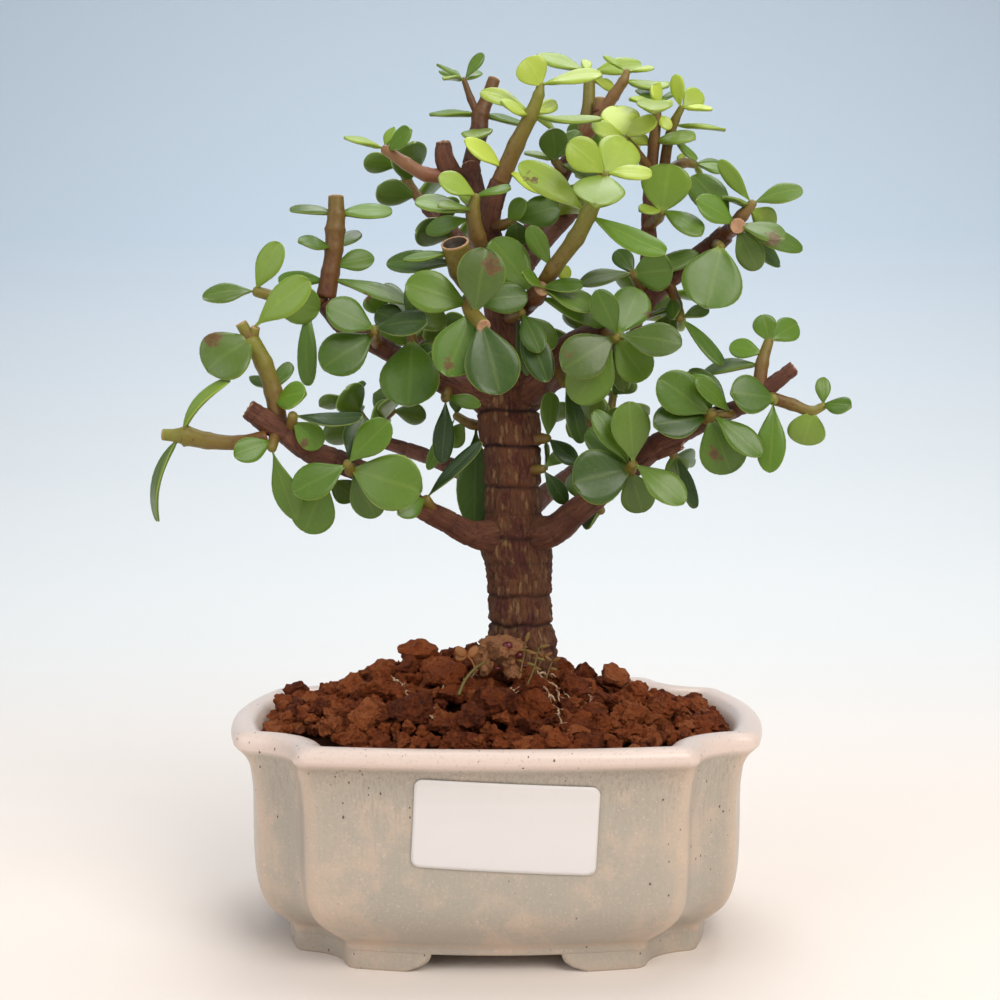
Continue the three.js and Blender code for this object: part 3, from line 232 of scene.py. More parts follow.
# The woody plant. Each row is one limb, as points [u, v, depth, radius], thick end first.
WOOD = [
  [[8.2, 66, 0, 11], [8.4, 84, 0, 10.7], [7.6, 93, 0, 9.9], [7.2, 102, 0, 9.7], [7, 112, 0, 10.6],
    [5.8, 119, 0, 11.2], [5.1, 128, 0, 9], [5, 137, 0, 8.6], [4.6, 149, 0, 9.3], [3.6, 160, 0, 9.8],
    [3.4, 168, -1, 9.2], [3, 176, -2, 7], [2, 186, -3, 5.6], [0, 197, -4, 4.6], [-1, 208, -5, 4],
    [-2.5, 218, -6, 3.6], [-1, 225, -7.5, 3.4], [1, 231, -9, 3.1]],
  [[-2, 214, -5, 3.4], [-6, 225, -2, 3.2], [-8.2, 236, 2, 3]],
  [[-6, 224, -2, 3.2], [-12, 231, -2, 3.2], [-16, 237, -3, 3.2], [-16.5, 243, -3, 2.5]],
  [[2, 199, -3, 3.8], [8, 211, 1, 3.4], [15, 222, 4, 3], [21, 235, 6, 2.7], [26, 242.5, 6, 2.6]],
  [[1, 189, -4, 4], [7, 191.5, -9, 3.3], [13, 196.5, -14, 2.9]],
  [[0, 195, -4, 3.6], [-4, 197, -9, 3.1]],
  [[2, 166, -2, 6.5], [-8, 166, -6, 4.2], [-16, 168.5, -10, 3.6], [-26, 174, -12, 3.2], [-37, 180.5, -13, 3],
    [-46, 185, -13, 3], [-53, 193.5, -12, 3.4]],
  [[5, 164, -2, 6.5], [14, 170, -7, 4.4], [19, 178, -10, 3.3], [26, 183, -12, 3], [34, 185, -13, 2.9],
    [41, 190, -11, 3.2], [47, 195.5, -9, 3.9], [53, 200.5, -8, 3.1], [60, 206, -8, 3.1],
    [66, 210.5, -9, 3.3], [71, 215, -11, 3]],
  [[46, 196, -8, 3.2], [47, 208, -5, 2.6], [47, 222, -3, 2.4], [47.7, 233, -1.5, 2.2]],
  [[47.5, 229, -2, 2], [51.5, 234, -1, 1.9]],
  [[3, 121, -2, 6.5], [-8, 121.8, -9, 4], [-16, 126, -14, 3.6], [-22, 129, -18, 3.4], [-30, 134, -23, 3.1],
    [-40, 140.5, -28, 3.1], [-49, 144, -31, 3.5], [-58, 147.5, -33, 3.4], [-66, 153.5, -35, 3.4],
    [-72, 157, -36, 3.3], [-77.8, 160.8, -37, 2.8]],
  [[8, 121, -2, 6.5], [18, 123, -8, 4.7], [24, 128, -13, 4.3], [31, 133.5, -18, 3.8], [40, 141, -22, 3.6],
    [48, 148, -25, 3.8], [56, 152.5, -28, 3.2], [66, 157.5, -30, 2.9], [76, 161.5, -31, 2.6],
    [82, 165.5, -31, 2.5], [88, 170, -31, 2.3], [92.6, 173.4, -31, 2.2]],
  [[50, 147.5, -26, 2.6], [58.3, 149, -30, 0.9]],
  [[6, 150, 4, 5], [0, 158, 17, 3.6], [-12, 168, 28, 2.9], [-25, 177, 37, 2.3]],
  [[6, 160, 4, 5], [16, 168, 17, 3.4], [30, 177, 28, 2.7], [44, 184, 36, 2.2]],
  [[2, 186, 0, 4.4], [-3, 200, 13, 3.3], [-12, 213, 23, 2.6], [-22, 223, 30, 2.1]],
  [[1, 193, 0, 4], [11, 208, 14, 3], [22, 220, 25, 2.5], [32, 229, 32, 2.1]],
  [[7, 128, 4, 4.6], [15, 134, 17, 3.3], [24, 141, 28, 2.7], [34, 147, 36, 2.2]],
  [[4, 134, 4, 4.4], [-8, 140, 17, 3.2], [-22, 146, 28, 2.6], [-37, 151, 36, 2.2]],
]

# The leafy shoots that the front shows. A row is a name, how young its leaves are from 0 to 1, its
# stems as limbs, and its leaves as [station, tip u, tip v, depth from base to tip, width, lift,
# turn, bend]. Station 12.5 is half way from point 2 to point 3 of stem 1. Lift and turn are the
# compass of the upper face: lift 90 faces up, turn 0 faces the front, and turn 90 faces right.
SHOOTS = [
  ["apex", 0.35, [[[-8, 236, 2, 2.8], [-5.5, 246, 5, 2.9], [-5, 251, 6, 2.8], [-3, 256, 7, 2.1],
    [-0.8, 262, 8, 2]], [[-5.8, 251, 6, 1.3], [-8, 256, 6.5, 1.2], [-10, 261.5, 7, 0.9]]],
  [[2, -20.8, 250.8, 3, 7, 65], [2, 9, 247.5, 3, 7, 65], [1, -6.5, 244, -11, 10, 75],
    [12, -18.6, 266.4, 0, 3, 70], [12, -17.3, 264.3, 4, 4.5, 50], [12, -4.2, 269.8, 1, 4.2, 25],
    [12, -16.3, 262.4, -3, 4.2, 70], [12, -5, 264, -2, 4.2, 70]]],
  ["top_left", 0.5, [[[-14, 232.5, -2, 2.4], [-22, 233, -3, 2.2], [-28, 236.3, -4, 2],
    [-34.5, 240.6, -4, 1.6]]],
  [[3, -47.3, 243.9, 1, 6, 65], [3, -31.8, 247, 4, 4.5, 20, -30], [2.8, -26.3, 246.6, -2, 7, 20]]],
  ["top_front_left", 0.5, [[[-3.5, 207, -8, 2.6], [-6, 214, -15, 2.6], [-7.3, 221, -17, 2.2],
    [-6.5, 226, -18, 1.5]]],
  [[3, -18.2, 232, -3, 9, 35], [3, 4.5, 228.6, -3, 5.5, 50], [2, -25.3, 224.6, -3, 9, 40],
    [2.1, -17.8, 223.7, -8, 5, 35], [2.3, -11, 227.5, -6, 3.4, 10], [1.8, -21.8, 215.5, 8, 6, 10]]],
  ["front_stub", 0.3, [[[-4, 198, -10, 3], [-8.5, 199, -18, 2.8], [-11, 203.5, -23, 3.6],
    [-13, 212, -28, 4.3]]],
  [[2.6, -29, 206.2, -2, 6, 60], [2.2, -34, 205.5, 6, 9, 30]]],
  ["front_low", 0.25, [[[-3, 195.5, -10, 2.5], [-8.6, 194, -24, 2.3], [-8, 191, -30, 2.2],
    [-4, 186.3, -38, 2.1]]],
  [[2, -15.5, 170.5, -6, 14, 0], [2.7, 1, 165, -4, 16, 15], [2.3, -3.5, 210.5, -2, 14, -5],
    [1.5, -28.3, 199.3, -4, 12.5, 5], [1.2, 9.5, 195.5, 2, 9.5, 5]]],
  ["left_node", 0.2, [[[-37, 180.5, -14, 2], [-38, 183, -19, 2], [-38, 185, -24, 1.6]]],
  [[2, -53, 192.3, -4, 11.5, 25], [2, -21.5, 187.5, -6, 10.5, 35], [1.4, -54.3, 173, -6, 13.5, 10],
    [1, -53, 180.5, 6, 5, 60]]],
  ["left_inner", 0.15, [[[-25, 174, -12, 1.9], [-26, 181, -15, 1.7], [-27, 186, -17, 1.3]]],
  [[1.2, -27.5, 161, -8, 18, -8], [2, -37.5, 190.5, 2, 9, 20], [2, -16, 190, 6, 9, 15],
    [2, -34, 199.5, 8, 6, 45], [1.9, -25, 201, 8, 6, 40]]],
  ["left_top", 0.35, [[[-53, 195, -12, 3.2], [-51.5, 203, -12, 2.8], [-50.4, 210, -12, 2.8],
    [-50, 216, -12, 3.1], [-49.6, 220.5, -12, 2.7], [-49.7, 226.3, -12, 2.4]], [[-53, 195, -12, 1.8],
    [-58, 193, -14, 1.4]]],
  [[4, -32.3, 221, 2, 8.5, 50], [4, -64, 222.3, 2, 6, 60], [2, -61.5, 212.3, -7, 7, 45],
    [2, -42.3, 215, 8, 5.5, 35], [1.2, -38, 207.5, 3, 7.5, 15], [0.6, -67.5, 200.5, 6, 6.5, 35],
    [0.7, -27.5, 193.6, 2, 8, 50], [11, -58, 167.8, 0, 8, 0, -40]]],
  ["left_far", 0.45, [[[-55, 193.5, -12, 2], [-65, 194.5, -16, 1.9], [-74.5, 197, -19, 1.7]]],
  [[2, -66.7, 212, -3, 9, 5, -20], [2, -91.3, 195.2, -4, 7.5, 35], [1.7, -54.8, 191.5, 6, 12.5, -15]]],
  ["left_stub", 0.45, [[[-68, 157, -34, 2.7], [-69.5, 166, -34, 2.6], [-72.5, 175, -35, 2.6],
    [-76.3, 182, -36, 2.6]], [[-76.3, 182, -36, 1.9], [-79.4, 187.3, -37, 1.7]],
  [[-75.8, 182, -36, 1.6], [-74.8, 186, -37, 1.3]]],
  [[21, -57.5, 200.3, -6, 10.5, 20], [3, -90, 172.3, -5, 16, 15, 0, 40], [1, -64, 174.8, 6, 5, 25],
    [1, -76.3, 170.4, 5, 3.6, 30], [0.6, -59.3, 165.5, -7, 9, 15]]],
  ["left_tip", 0.45, [[[-71.5, 152, -37, 2.1], [-80, 150.2, -38, 2.1], [-90, 150.8, -39, 2.4],
    [-97, 152.3, -39, 3], [-99.5, 152.4, -39, 2], [-104, 152.7, -39, 1.7]]],
  [[3.3, -82.5, 169.3, -2, 7, 20, -60, 60], [3.4, -106.8, 125.8, 3, 7, 20, -60, 50]]],
  ["left_low_front", 0.25, [[[-43.5, 141.5, -30, 2], [-45.5, 141.8, -35, 1.9], [-46.5, 143.5, -38, 1.5]]],
  [[2, -33.3, 157, -3, 9.5, 5], [1.8, -41.5, 158, 5, 8.5, 0], [1.8, -63.5, 134.3, -5, 11, 20],
    [1, -23.5, 135, -6, 16.5, 5], [0.8, -37.5, 127, 4, 10, -10]]],
  ["left_low", 0.2, [[[-69, 153, -36, 1.8], [-70, 148.5, -40, 1.4]]],
  [[1, -62.3, 126.5, 2, 8, 5, -15], [0.6, -82, 146, -6, 7.5, 10]]],
  ["left_low_back", 0.2, [[[-54, 145, -31, 1.7], [-53, 139, -28, 1.4]]],
  [[1, -59.8, 122.5, 3, 13.5, -5], [1, -62.3, 138.8, 8, 5, 20], [1, -44, 133, 8, 8, 0]]],
  ["left_upper", 0.2, [[[-64, 154, -35, 1.8], [-63.5, 158.5, -40, 1.5]]],
  [[1, -41.5, 157.6, -6, 6.5, 50, 0, -25], [0.6, -54.5, 149, 9, 8, 0]]],
  ["trunk_left", 0.15, [[[-20, 129, -18, 1.8], [-22, 132.5, -23, 1.5]]],
  [[1, -4.3, 150, -2, 5.5, 15, -40], [1, -31, 128, 4, 7, 10]]],
  ["under_left", 0.15, [[[-15, 168, -10, 1.9], [-16, 164, -15, 1.5]]],
  [[1, -17.5, 143.6, -3, 7, 0, 20], [0.8, -5, 161.8, -4, 4.5, 0]]],
  ["trunk_left_back", 0.25, [[[0, 155, 10, 1.9], [-8, 156, 11, 1.7], [-12.5, 158.5, 12, 1.4]]],
  [[2, -12.5, 165.5, 2, 5, 10], [1.4, -14.3, 149, 3, 7, 20], [2, -21.5, 141.6, 4, 5, 20],
    [0.8, -7, 124.2, 4, 12, 0]]],
  ["trunk_right", 0.15, [[[8, 150.5, -4, 2], [14.5, 151.5, -6, 1.6], [15.8, 151.5, -7, 1.3]]],
  [[2, 24.7, 143.5, -4, 6.5, 25], [1.8, 16.5, 166, 4, 7, 0, 30], [1.4, 15.5, 142, 5, 4.5, 0]]],
  ["trunk_right_low", 0.15, [[[9, 141.5, -4, 1.9], [14.3, 142, -8, 1.4]]],
  [[1, 21.5, 131.2, -3, 5.8, 20], [1, 22, 147.5, 8, 5, 20]]],
  ["right_low_front", 0.25, [[[40, 141.5, -22, 2], [41.5, 142, -27, 1.9], [42.5, 143.5, -31, 1.5]]],
  [[1, 23.5, 137.5, -5, 16.5, 5], [2, 41, 163, -3, 11.5, 0], [2, 58.6, 131.3, -5, 10.5, 30],
    [0.8, 45.5, 128.5, 3, 10.5, 0], [1.2, 28.3, 154, 4, 9, 10], [1.4, 30, 160, 8, 7.5, 30]]],
  ["right_low", 0.2, [[[30, 133, -18, 1.8], [32.5, 129, -14, 1.4]]],
  [[1, 27.5, 125.3, 3, 8, -5], [1, 22.5, 140.5, 8, 8, 10]]],
  ["right_low_back", 0.2, [[[53, 150.5, -27, 1.8], [55, 146.5, -24, 1.5]]],
  [[1, 61.5, 129.6, 2, 6.5, 0, 45], [1, 56.5, 140.5, 6, 8, 0], [1, 62, 145, 12, 6, 0]]],
  ["right_outer", 0.2, [[[65, 157.5, -30, 2], [66, 158, -35, 1.9], [67, 159.5, -38, 1.5]],
    [[71, 159, -31, 1.6], [73, 159, -36, 1.3], [66.5, 159, -36.5, 1.3]]],
  [[1, 48.6, 155.3, -5, 11.5, 25], [1.6, 50, 170, -1, 12.5, 0], [1.4, 60.5, 171, 5, 10, 0],
    [1, 73, 140.8, 1, 14, -5], [1.6, 82.3, 146, -4, 9, 30], [11, 61.8, 169.8, -3, 6, 35, -40],
    [11, 59.8, 172.7, 4, 8, 25]]],
  ["right_far", 0.35, [[[84, 164.5, -31, 2], [92, 162, -32, 1.8], [98, 160, -33, 1.5],
    [101.5, 161.5, -33, 1.2]], [[85, 164.5, -31, 1.9], [86, 163.5, -35, 1.6]]],
  [[11, 72.5, 165.5, -5, 12, 20], [11, 85, 140.7, -3, 8.5, 0, -10], [3, 101.2, 170.5, 2, 4.6, 15],
    [3, 110.4, 161.2, -3, 6.5, 25], [2, 95, 149.6, 2, 11, 0]]],
  ["right_twig", 0.35, [[[81.5, 166, -31, 2.2], [82.5, 175, -30, 1.9], [84.4, 181.5, -29, 1.5]]],
  [[2, 82, 189.8, 0, 7, 0], [2, 93, 186.8, 1, 8, 10], [1.4, 72.2, 180, 3, 6.5, 15],
    [0.9, 64, 172.5, 5, 8, 40]]],
  ["mid_right", 0.35, [[[34, 184.5, -15, 2], [36, 182.5, -22, 1.9], [37.5, 183, -26, 1.5]]],
  [[2, 30.6, 197.5, -4, 8.5, 10], [2, 44, 197.5, 2, 12, 5], [2, 57.5, 180.8, -6, 11.5, 20],
    [1.4, 20.5, 172.8, -5, 14, 5], [1, 24.5, 162.5, 0, 14, -5], [1.2, 46.5, 170, 1, 12, -5],
    [1, 39.8, 166, 9, 6, 0]]],
  ["hang_right", 0.15, [[[18, 174.5, -9, 1.8], [21, 168.5, -14, 1.5]]],
  [[1, 26, 149.8, -1, 7.2, 0, 30], [1, 31, 166, 10, 8, 10]]],
  ["inner_right", 0.3, [[[9, 193, -10, 2.8], [12, 195.5, -18, 2.9], [14, 198, -22, 2.5]]],
  [[2, 26.8, 198.4, -3, 7, 45], [2, 7.8, 202.8, -4, 6, 45], [1.7, 31.3, 191.5, -4, 9.5, 40],
    [1, 34, 186.5, 6, 7, 30], [1, -1.5, 213, 3, 12.5, 0]]],
  ["inner_front", 0.25, [[[4, 189, -8, 2.2], [6, 190, -17, 1.8], [7.5, 190.5, -20, 1.5]]],
  [[2, 13.5, 178, -6, 7.5, 20], [1.8, 18, 179.5, 2, 8, 10], [1.6, 15.8, 168.9, -2, 9, 0],
    [1, 9.5, 171, -4, 4, 0]]],
  ["front_stem", 0.6, [[[13, 196.5, -14, 2.6], [17.5, 204, -20, 2.4], [24.5, 213.5, -25, 2.6],
    [28.2, 220.5, -28, 2.5], [32, 228.5, -31, 2], [33.5, 233, -32, 1.4]]],
  [[3, 52.3, 208.3, -8, 9, 35, 0, -20], [3, 7, 236.5, 3, 9.5, 25], [4.7, 30.5, 223.5, -14, 15, 55],
    [5, 21.8, 242.6, -4, 10, 5], [5, 48, 232.8, -4, 6.8, 40], [4.8, 40, 243, 5, 13, 5],
    [1, 10, 217.2, -2, 6.5, 15, -30], [1, 22.8, 202, 3, 4.5, 0]]],
  ["top_right_front", 0.65, [[[47.6, 234, -2, 1.7], [42, 241, -10, 1.5], [39.5, 244, -13, 1.2]]],
  [[2, 28.8, 247.5, -3, 6.5, 30], [2, 49.2, 250, -3, 7, 30], [1.9, 37, 253.3, 5, 12, 20]]],
  ["long_stem", 0.7, [[[1, 230.5, -9, 2.9], [6, 242, -12, 2.5], [10.5, 251, -14, 2.2], [13, 257.5, -15, 1.7],
    [13.5, 260, -15, 1.2]]],
  [[1.9, 1, 254.8, -6, 7, 45], [2.1, -5, 258.6, -3, 6.5, 40], [2, 32.4, 250.3, -4, 6.5, 55, 0, -25],
    [2, 18.3, 254.5, 5, 5.5, 20], [0.3, -10, 243.7, -4, 6.8, 35], [0.3, 16.4, 227, -4, 6.5, 35],
    [4, 8.6, 268.2, -2, 10, 5], [4, 32.5, 263.4, -4, 7.5, 40], [2, 18.3, 246.5, 3, 4, 20]]],
  ["back_stem", 0.55, [[[26, 242.5, 6, 2.5], [28, 251, 7, 2.2], [28.6, 263.5, 8, 1.8]]],
  [[2, 12, 268.8, 3, 7.5, 45], [2, 27, 267.6, 4, 3.5, 20], [2, 44.5, 266.3, 3, 7.5, 35],
    [1.9, 36.3, 259, 2, 4.8, 30]]],
  ["inner_top", 0.2, [[[20.5, 234, 5, 1.7], [18, 237, -3, 1.4]]],
  [[1, 17, 247.3, -2, 9, 5], [1, 25.5, 246, 2, 6, 20], [1, 8.5, 239.7, -2, 4, 60],
    [0.7, 31, 232, 6, 6.5, 30]]],
  ["pink_twig", 0.55, [[[25.5, 242, 6, 2.3], [33, 252.5, 3, 2.1], [36, 257, 2, 1.9], [39, 261.5, 1, 1.6],
    [40, 264, 1, 1.1]], [[31.5, 252, 3, 1.9], [32, 256.2, 3, 1.8]]],
  [[3, 53.2, 259.7, -3, 7, 55, 0, -25], [4, 48.5, 265.2, 0, 2.8, 45], [4, 32.7, 269, 2, 2.4, 40]]],
  ["top_right_a", 0.55, [[[47.7, 233, -1, 1.9], [48.5, 242.5, -3, 1.8], [49.2, 250, -5, 1.6],
    [49.5, 254.5, -6, 1.2]]],
  [[3, 40.7, 255.6, -3, 5.5, 60], [3, 54.2, 254.6, -2, 4, 60], [3, 48, 252.5, -9, 11, 70],
    [3, 43.4, 258.8, -1, 4.8, 20], [3, 56.2, 258.2, 0, 3.2, 55], [3, 48, 260.3, 5, 9, 35],
    [0.9, 41.5, 244.6, 3, 4.5, 25], [2.2, 53.7, 246.8, 1, 4, 20], [1, 61.3, 244.2, -4, 7.8, 25]]],
  ["top_right_b", 0.6, [[[51.5, 233.5, -1, 1.8], [53, 243.5, -2, 1.6], [55, 249.5, -3, 1.4],
    [56.8, 253, -4, 1.1]]],
  [[3, 55.3, 263.6, -1, 5, 5, -30], [3, 62.8, 258, -1, 7, 5], [3, 66.4, 252.6, 0, 4, 60],
    [1.7, 70.6, 246.4, 2, 5, 65], [1.4, 61.8, 237.3, -2, 4.5, 20, 40, -30]]],
  ["right_cluster", 0.4, [[[51, 233, -1, 1.7], [58, 236.5, 4, 1.6], [61, 236, 5, 1.3]]],
  [[1, 55.8, 238.6, -1, 4, 20], [2, 70.4, 233.6, -2, 5, 40], [2, 69.5, 236.8, 2, 4, 50],
    [2, 63, 231.8, 0, 3.5, 10]]],
  ["leaf_pair", 0.45, [[[46.8, 217, -4, 1.9], [50, 219.8, -12, 1.7], [51, 221.5, -16, 1.4]]],
  [[2, 53, 236.3, -3, 15, 0], [2, 63.6, 214.5, -6, 8.8, 40], [2, 44, 221.8, -4, 6, 45]]],
  ["right_top", 0.45, [[[71, 215, -10, 2.3], [76, 220.5, -12, 2], [79, 224, -13, 1.5]]],
  [[2, 68.7, 237.5, -2, 5, 25, -45], [2, 94.6, 228.3, -1, 7.5, 35], [1.7, 70, 226, -4, 7, 40],
    [1.6, 85.5, 217, 6, 8, 0]]],
  ["right_cut", 0.4, [[[71, 215, -12, 2.4], [74, 217, -17, 2.4], [74.6, 217.2, -20, 2.3]]],
  [[1, 61.3, 225, -4, 9.5, 30], [1.3, 89.3, 213.6, -5, 9, 40], [0.8, 94.5, 209.8, 6, 6.8, 20],
    [1, 81, 203.6, 0, 8.5, -15], [0.7, 87.5, 205, 4, 6.5, 0], [0.7, 60.5, 232.5, 6, 11, 0]]],
  ["round_right", 0.3, [[[68, 211.5, -10, 2.2], [69, 210.5, -18, 1.7]]],
  [[1, 64.5, 191.6, -5, 18.5, -5]]],
  ["right_inner", 0.2, [[[45.5, 196.5, -9, 1.9], [42.5, 202.5, -16, 1.7]]],
  [[1, 54.6, 204, -4, 12, -10], [1, 25.6, 199.6, -2, 7.5, 40], [0.9, 37, 209.5, 4, 6.5, 10],
    [0.8, 62.5, 208.7, 10, 6.5, 20]]],
  ["right_under", 0.2, [[[53, 200.5, -9, 1.7], [56, 193, -15, 1.5], [57, 188.5, -18, 1.3]]],
  [[2, 69.7, 173.7, -3, 7, 5, 40], [0.6, 55.3, 188.3, -6, 5, 10, -40], [2, 65.7, 191.8, 3, 5, 30],
    [1.3, 50.5, 183, 5, 7.5, 0], [1.2, 41, 186.3, 8, 4.5, 30]]],
  ["crown_inner", 0.15, [[[-2.5, 217, -6, 1.9], [2, 217.5, -11, 1.6], [5, 219, -13, 1.3]]],
  [[2, 19.3, 222.5, 1, 10.5, -5], [2, 7, 211, 5, 8, 10], [1.5, 9, 225, -1, 6.5, 30]]],
]

# Shoots that the front doesn't show, as [limb, station, pairs on the stem, pairs on the side twig].
BACK_SHOOTS = [
  [13, 1.7, 3, 0], [13, 3, 3, 2], [14, 1.7, 2, 0], [14, 3, 3, 2], [15, 1.7, 2, 0], [15, 3, 3, 0],
  [16, 1.6, 2, 0], [16, 3, 3, 0], [17, 3, 3, 2], [18, 3, 3, 2],
]


# Limbs and leaves are laid out as seen from the front: u and v are where the line of sight from
# EYE crosses the plane of the trunk, and the depth is how far behind that plane the point lies.
EYE = np.array([1.0, -428.0, 151.0])
# Any direction that no limb runs along: the side of every limb is turned towards it.
LEAN = np.array([0.31, 0.87, 0.38])
LEAF_BEND = 14
LEAF_CUP = 0.07
CLEAR = 2.7
STEM_CLEAR = 1.5
DEPTH_MOVES = [0, -2, 2, -4, 4, -6, 6, -8, 8, -11, 11, -14, 14]
LIFT_MOVES = [0, -18, 18, -36, 36]
NODE_SPACING = 7.5
BACK_STEM_R = 2
BACK_TWIG_R = 1.7
STEM_TAPER = 0.22
TIP_LEAF = 0.72


def place(u, v, depth):
    far = 1 - depth / EYE[1]
    return np.array([EYE[0] + (u - EYE[0]) * far, depth, EYE[2] + (v - EYE[2]) * far])


def limb_points(rows):
    return [(place(u, v, depth), r) for u, v, depth, r in rows]


def along(limb, station):
    """A point at a station along a limb: 1.5 is half way from its second point to its third."""
    k = min(math.floor(station), len(limb) - 2)
    (p, r), (q, s) = limb[k], limb[k + 1]
    t = station - k
    return p + (q - p) * t, r + (s - r) * t


def unit(v):
    return v / np.linalg.norm(v)


def clamp(value):
    return max(0.0, min(1.0, value))


def tangents(path):
    """The unit direction of a path at each of its points."""
    ways = np.gradient(path, axis=0)
    return ways / np.linalg.norm(ways, axis=1)[:, None]


def square_to(way):
    """The side and the up of a way: two directions at right angles to it."""
    side = unit(LEAN - way * LEAN.dot(way))
    return side, np.cross(way, side)


def tube_points(path, ways, radii, sides):
    """A ring of points round each point of a path."""
    points = []
    for p, way, r in zip(path, ways, radii):
        side, up = square_to(way)
        for k in range(sides):
            turn = 2 * math.pi * k / sides
            points.append(p + side * (r * math.cos(turn)) + up * (r * math.sin(turn)))
    return points


def tube_faces(rings, sides, start=0, lids=True):
    """The faces between rings of points, with a lid at each end. start is the first point's number."""
    faces = []
    for a in range(start, start + (rings - 1) * sides, sides):
        for i in range(sides):
            j = (i + 1) % sides
            faces.append([a + i, a + j, a + sides + j, a + sides + i])
    if lids:
        last = start + (rings - 1) * sides
        faces.append([start + i for i in reversed(range(sides))])
        faces.append([last + i for i in range(sides)])
    return faces


def leaf_frame(leaf):
    """The leaf's direction, length, upper side and width direction."""
    way = leaf["tip"] - leaf["base"]
    length = float(np.linalg.norm(way))
    way = way / length
    lift, turn = math.radians(leaf["lift"]), math.radians(leaf["turn"])
    face = np.array([math.sin(turn) * math.cos(lift), -math.cos(turn) * math.cos(lift), math.sin(lift)])
    face = unit(face - way * face.dot(way))
    return way, length, face, np.cross(way, face)


def leaf_samples(leaf):
    way, length, face, side = leaf_frame(leaf)
    points = []
    for t, w in ((0.3, 0.55), (0.5, 0.9), (0.7, 0.97), (0.92, 0.6)):
        sag = length * math.tan(math.radians(leaf["bend"]) / 4) * 2 * t * (1 - t)
        for s in (-0.85, 0, 0.85):
            cup = LEAF_CUP * leaf["width"] * s * s
            points.append(leaf["base"] + way * length * t + side * (s * w * leaf["width"] / 2)
                          + face * (sag + cup))
    return np.array(points)


def bend_clear(shoots, limbs):
    """Bends each leaf clear of the limbs and of the leaves before it: its tip goes forward or back
    along the line of sight, and its blade rolls, by as little as will do."""
    # What stands in the way, as balls: x, y, z, radius, whose it is, and whether it is a leaf's.
    balls = []

    def add_limb(limb, owner):
        for i in range(4 * (len(limb) - 1) + 1):
            p, r = along(limb, i * 0.25)
            balls.append((*p, r + STEM_CLEAR, owner, 0))

    for limb in limbs:
        add_limb(limb, -1)
    for owner, shoot in enumerate(shoots):
        for limb in shoot["stems"]:
            add_limb(limb, owner)
    for owner, shoot in enumerate(shoots):
        for leaf in shoot["leaves"]:
            reach = leaf_frame(leaf)[1] + 16
            others = np.array(balls)
            others = others[(others[:, 4] != owner) | (others[:, 5] > 0)]
            others = others[np.linalg.norm(others[:, :3] - leaf["base"], axis=1) < reach]
            at, r = others[:, :3], others[:, 3]
            best = None
            for move in DEPTH_MOVES:
                for roll in LIFT_MOVES:
                    far = (leaf["tip"][1] + move - EYE[1]) / (leaf["tip"][1] - EYE[1])
                    tried = dict(leaf, lift=leaf["lift"] + roll, tip=(leaf["tip"] - EYE) * far + EYE)
                    gap = np.linalg.norm(leaf_samples(tried)[:, None, :] - at[None, :, :], axis=2)
                    short = np.maximum(0, r[None, :] - gap)
                    score = float((short ** 2).sum()) + 0.05 * abs(move) + 0.006 * abs(roll)
                    if best is None or score < best[0] - 1e-6:
                        best = (score, tried)
                if best[0] < 0.05 * abs(move):
                    break
            leaf.update(best[1])
            for p in leaf_samples(leaf):
                balls.append((*p, CLEAR, owner, 1))


def read_shoot(row):
    name, youth, stems, leaves = row
    limbs = [limb_points(stem) for stem in stems]
    grown = []
    for station, u, v, deep, width, lift, *rest in leaves:
        base = along(limbs[int(station // 10)], station % 10)[0]
        turn = rest[0] if rest else 0
        bend = rest[1] if len(rest) > 1 else LEAF_BEND
        grown.append({"base": base, "tip": place(u, v, base[1] + deep), "width": width, "lift": lift,
                      "turn": turn, "bend": bend})
    return {"name": name, "youth": youth, "stems": limbs, "leaves": grown}


def grow_back_shoot(row, i, limbs):
    """A shoot grows out and up from a point of a back limb, with pairs of leaves, each pair at
    right angles to the one below it. Some have a side twig at their first pair."""
    limb_index, station, pairs, twig_pairs = row
    draw = draws(700 + 37 * i)
    start = along(limbs[limb_index], 2.9 if station == 3 else station)[0]
    leaves = []

    def grow(root, radius, way, count):
        stem = [(root, radius)]
        ring = draw(0, 3)
        for k in range(1, count + 1):
            way = unit(way + np.array([0, 0, 0.12]))
            p = stem[-1][0] + way * (NODE_SPACING * draw(0.8, 1.1))
            stem.append((p, radius - k * STEM_TAPER))
            side = unit(np.cross([0, 0, 1], way))
            up = np.cross(way, side)
            size = TIP_LEAF if k == count else 1
            for half in (0, math.pi):
                out = unit(side * math.cos(ring + half) + up * math.sin(ring + half) + way * 0.45)
                out[2] *= 0.75
                length = size * draw(13.5, 17.5)
                leaves.append({"base": p, "tip": p + out * length, "width": length * draw(0.68, 0.85),
                               "lift": draw(25, 60), "turn": math.degrees(math.atan2(p[0], -p[1])),
                               "bend": LEAF_BEND})
            ring += math.pi / 2 + draw(-0.3, 0.3)
        return stem

    way = unit(np.array([start[0] * 0.5, 22.0, 0.0]))
    way = unit(way + np.array([draw(-0.4, 0.4), draw(-0.3, 0), draw(0.6, 1.1)]))
    turned = 1 if i % 2 else -1
    aside = np.array([way[1] * turned, -way[0] * turned, 0.25])
    stems = [grow(start, BACK_STEM_R, way, pairs)]
    if twig_pairs:
        stems.append(grow(stems[0][1][0], BACK_TWIG_R, aside, twig_pairs))
    return {"name": f"back_{i + 1}", "youth": draw(0.15, 0.6), "stems": stems, "leaves": leaves}


LIMBS = [limb_points(rows) for rows in WOOD]


def grown_shoots():
    shoots = [read_shoot(row) for row in SHOOTS]
    shoots += [grow_back_shoot(row, i, LIMBS) for i, row in enumerate(BACK_SHOOTS)]
    bend_clear(shoots, LIMBS)
    return shoots


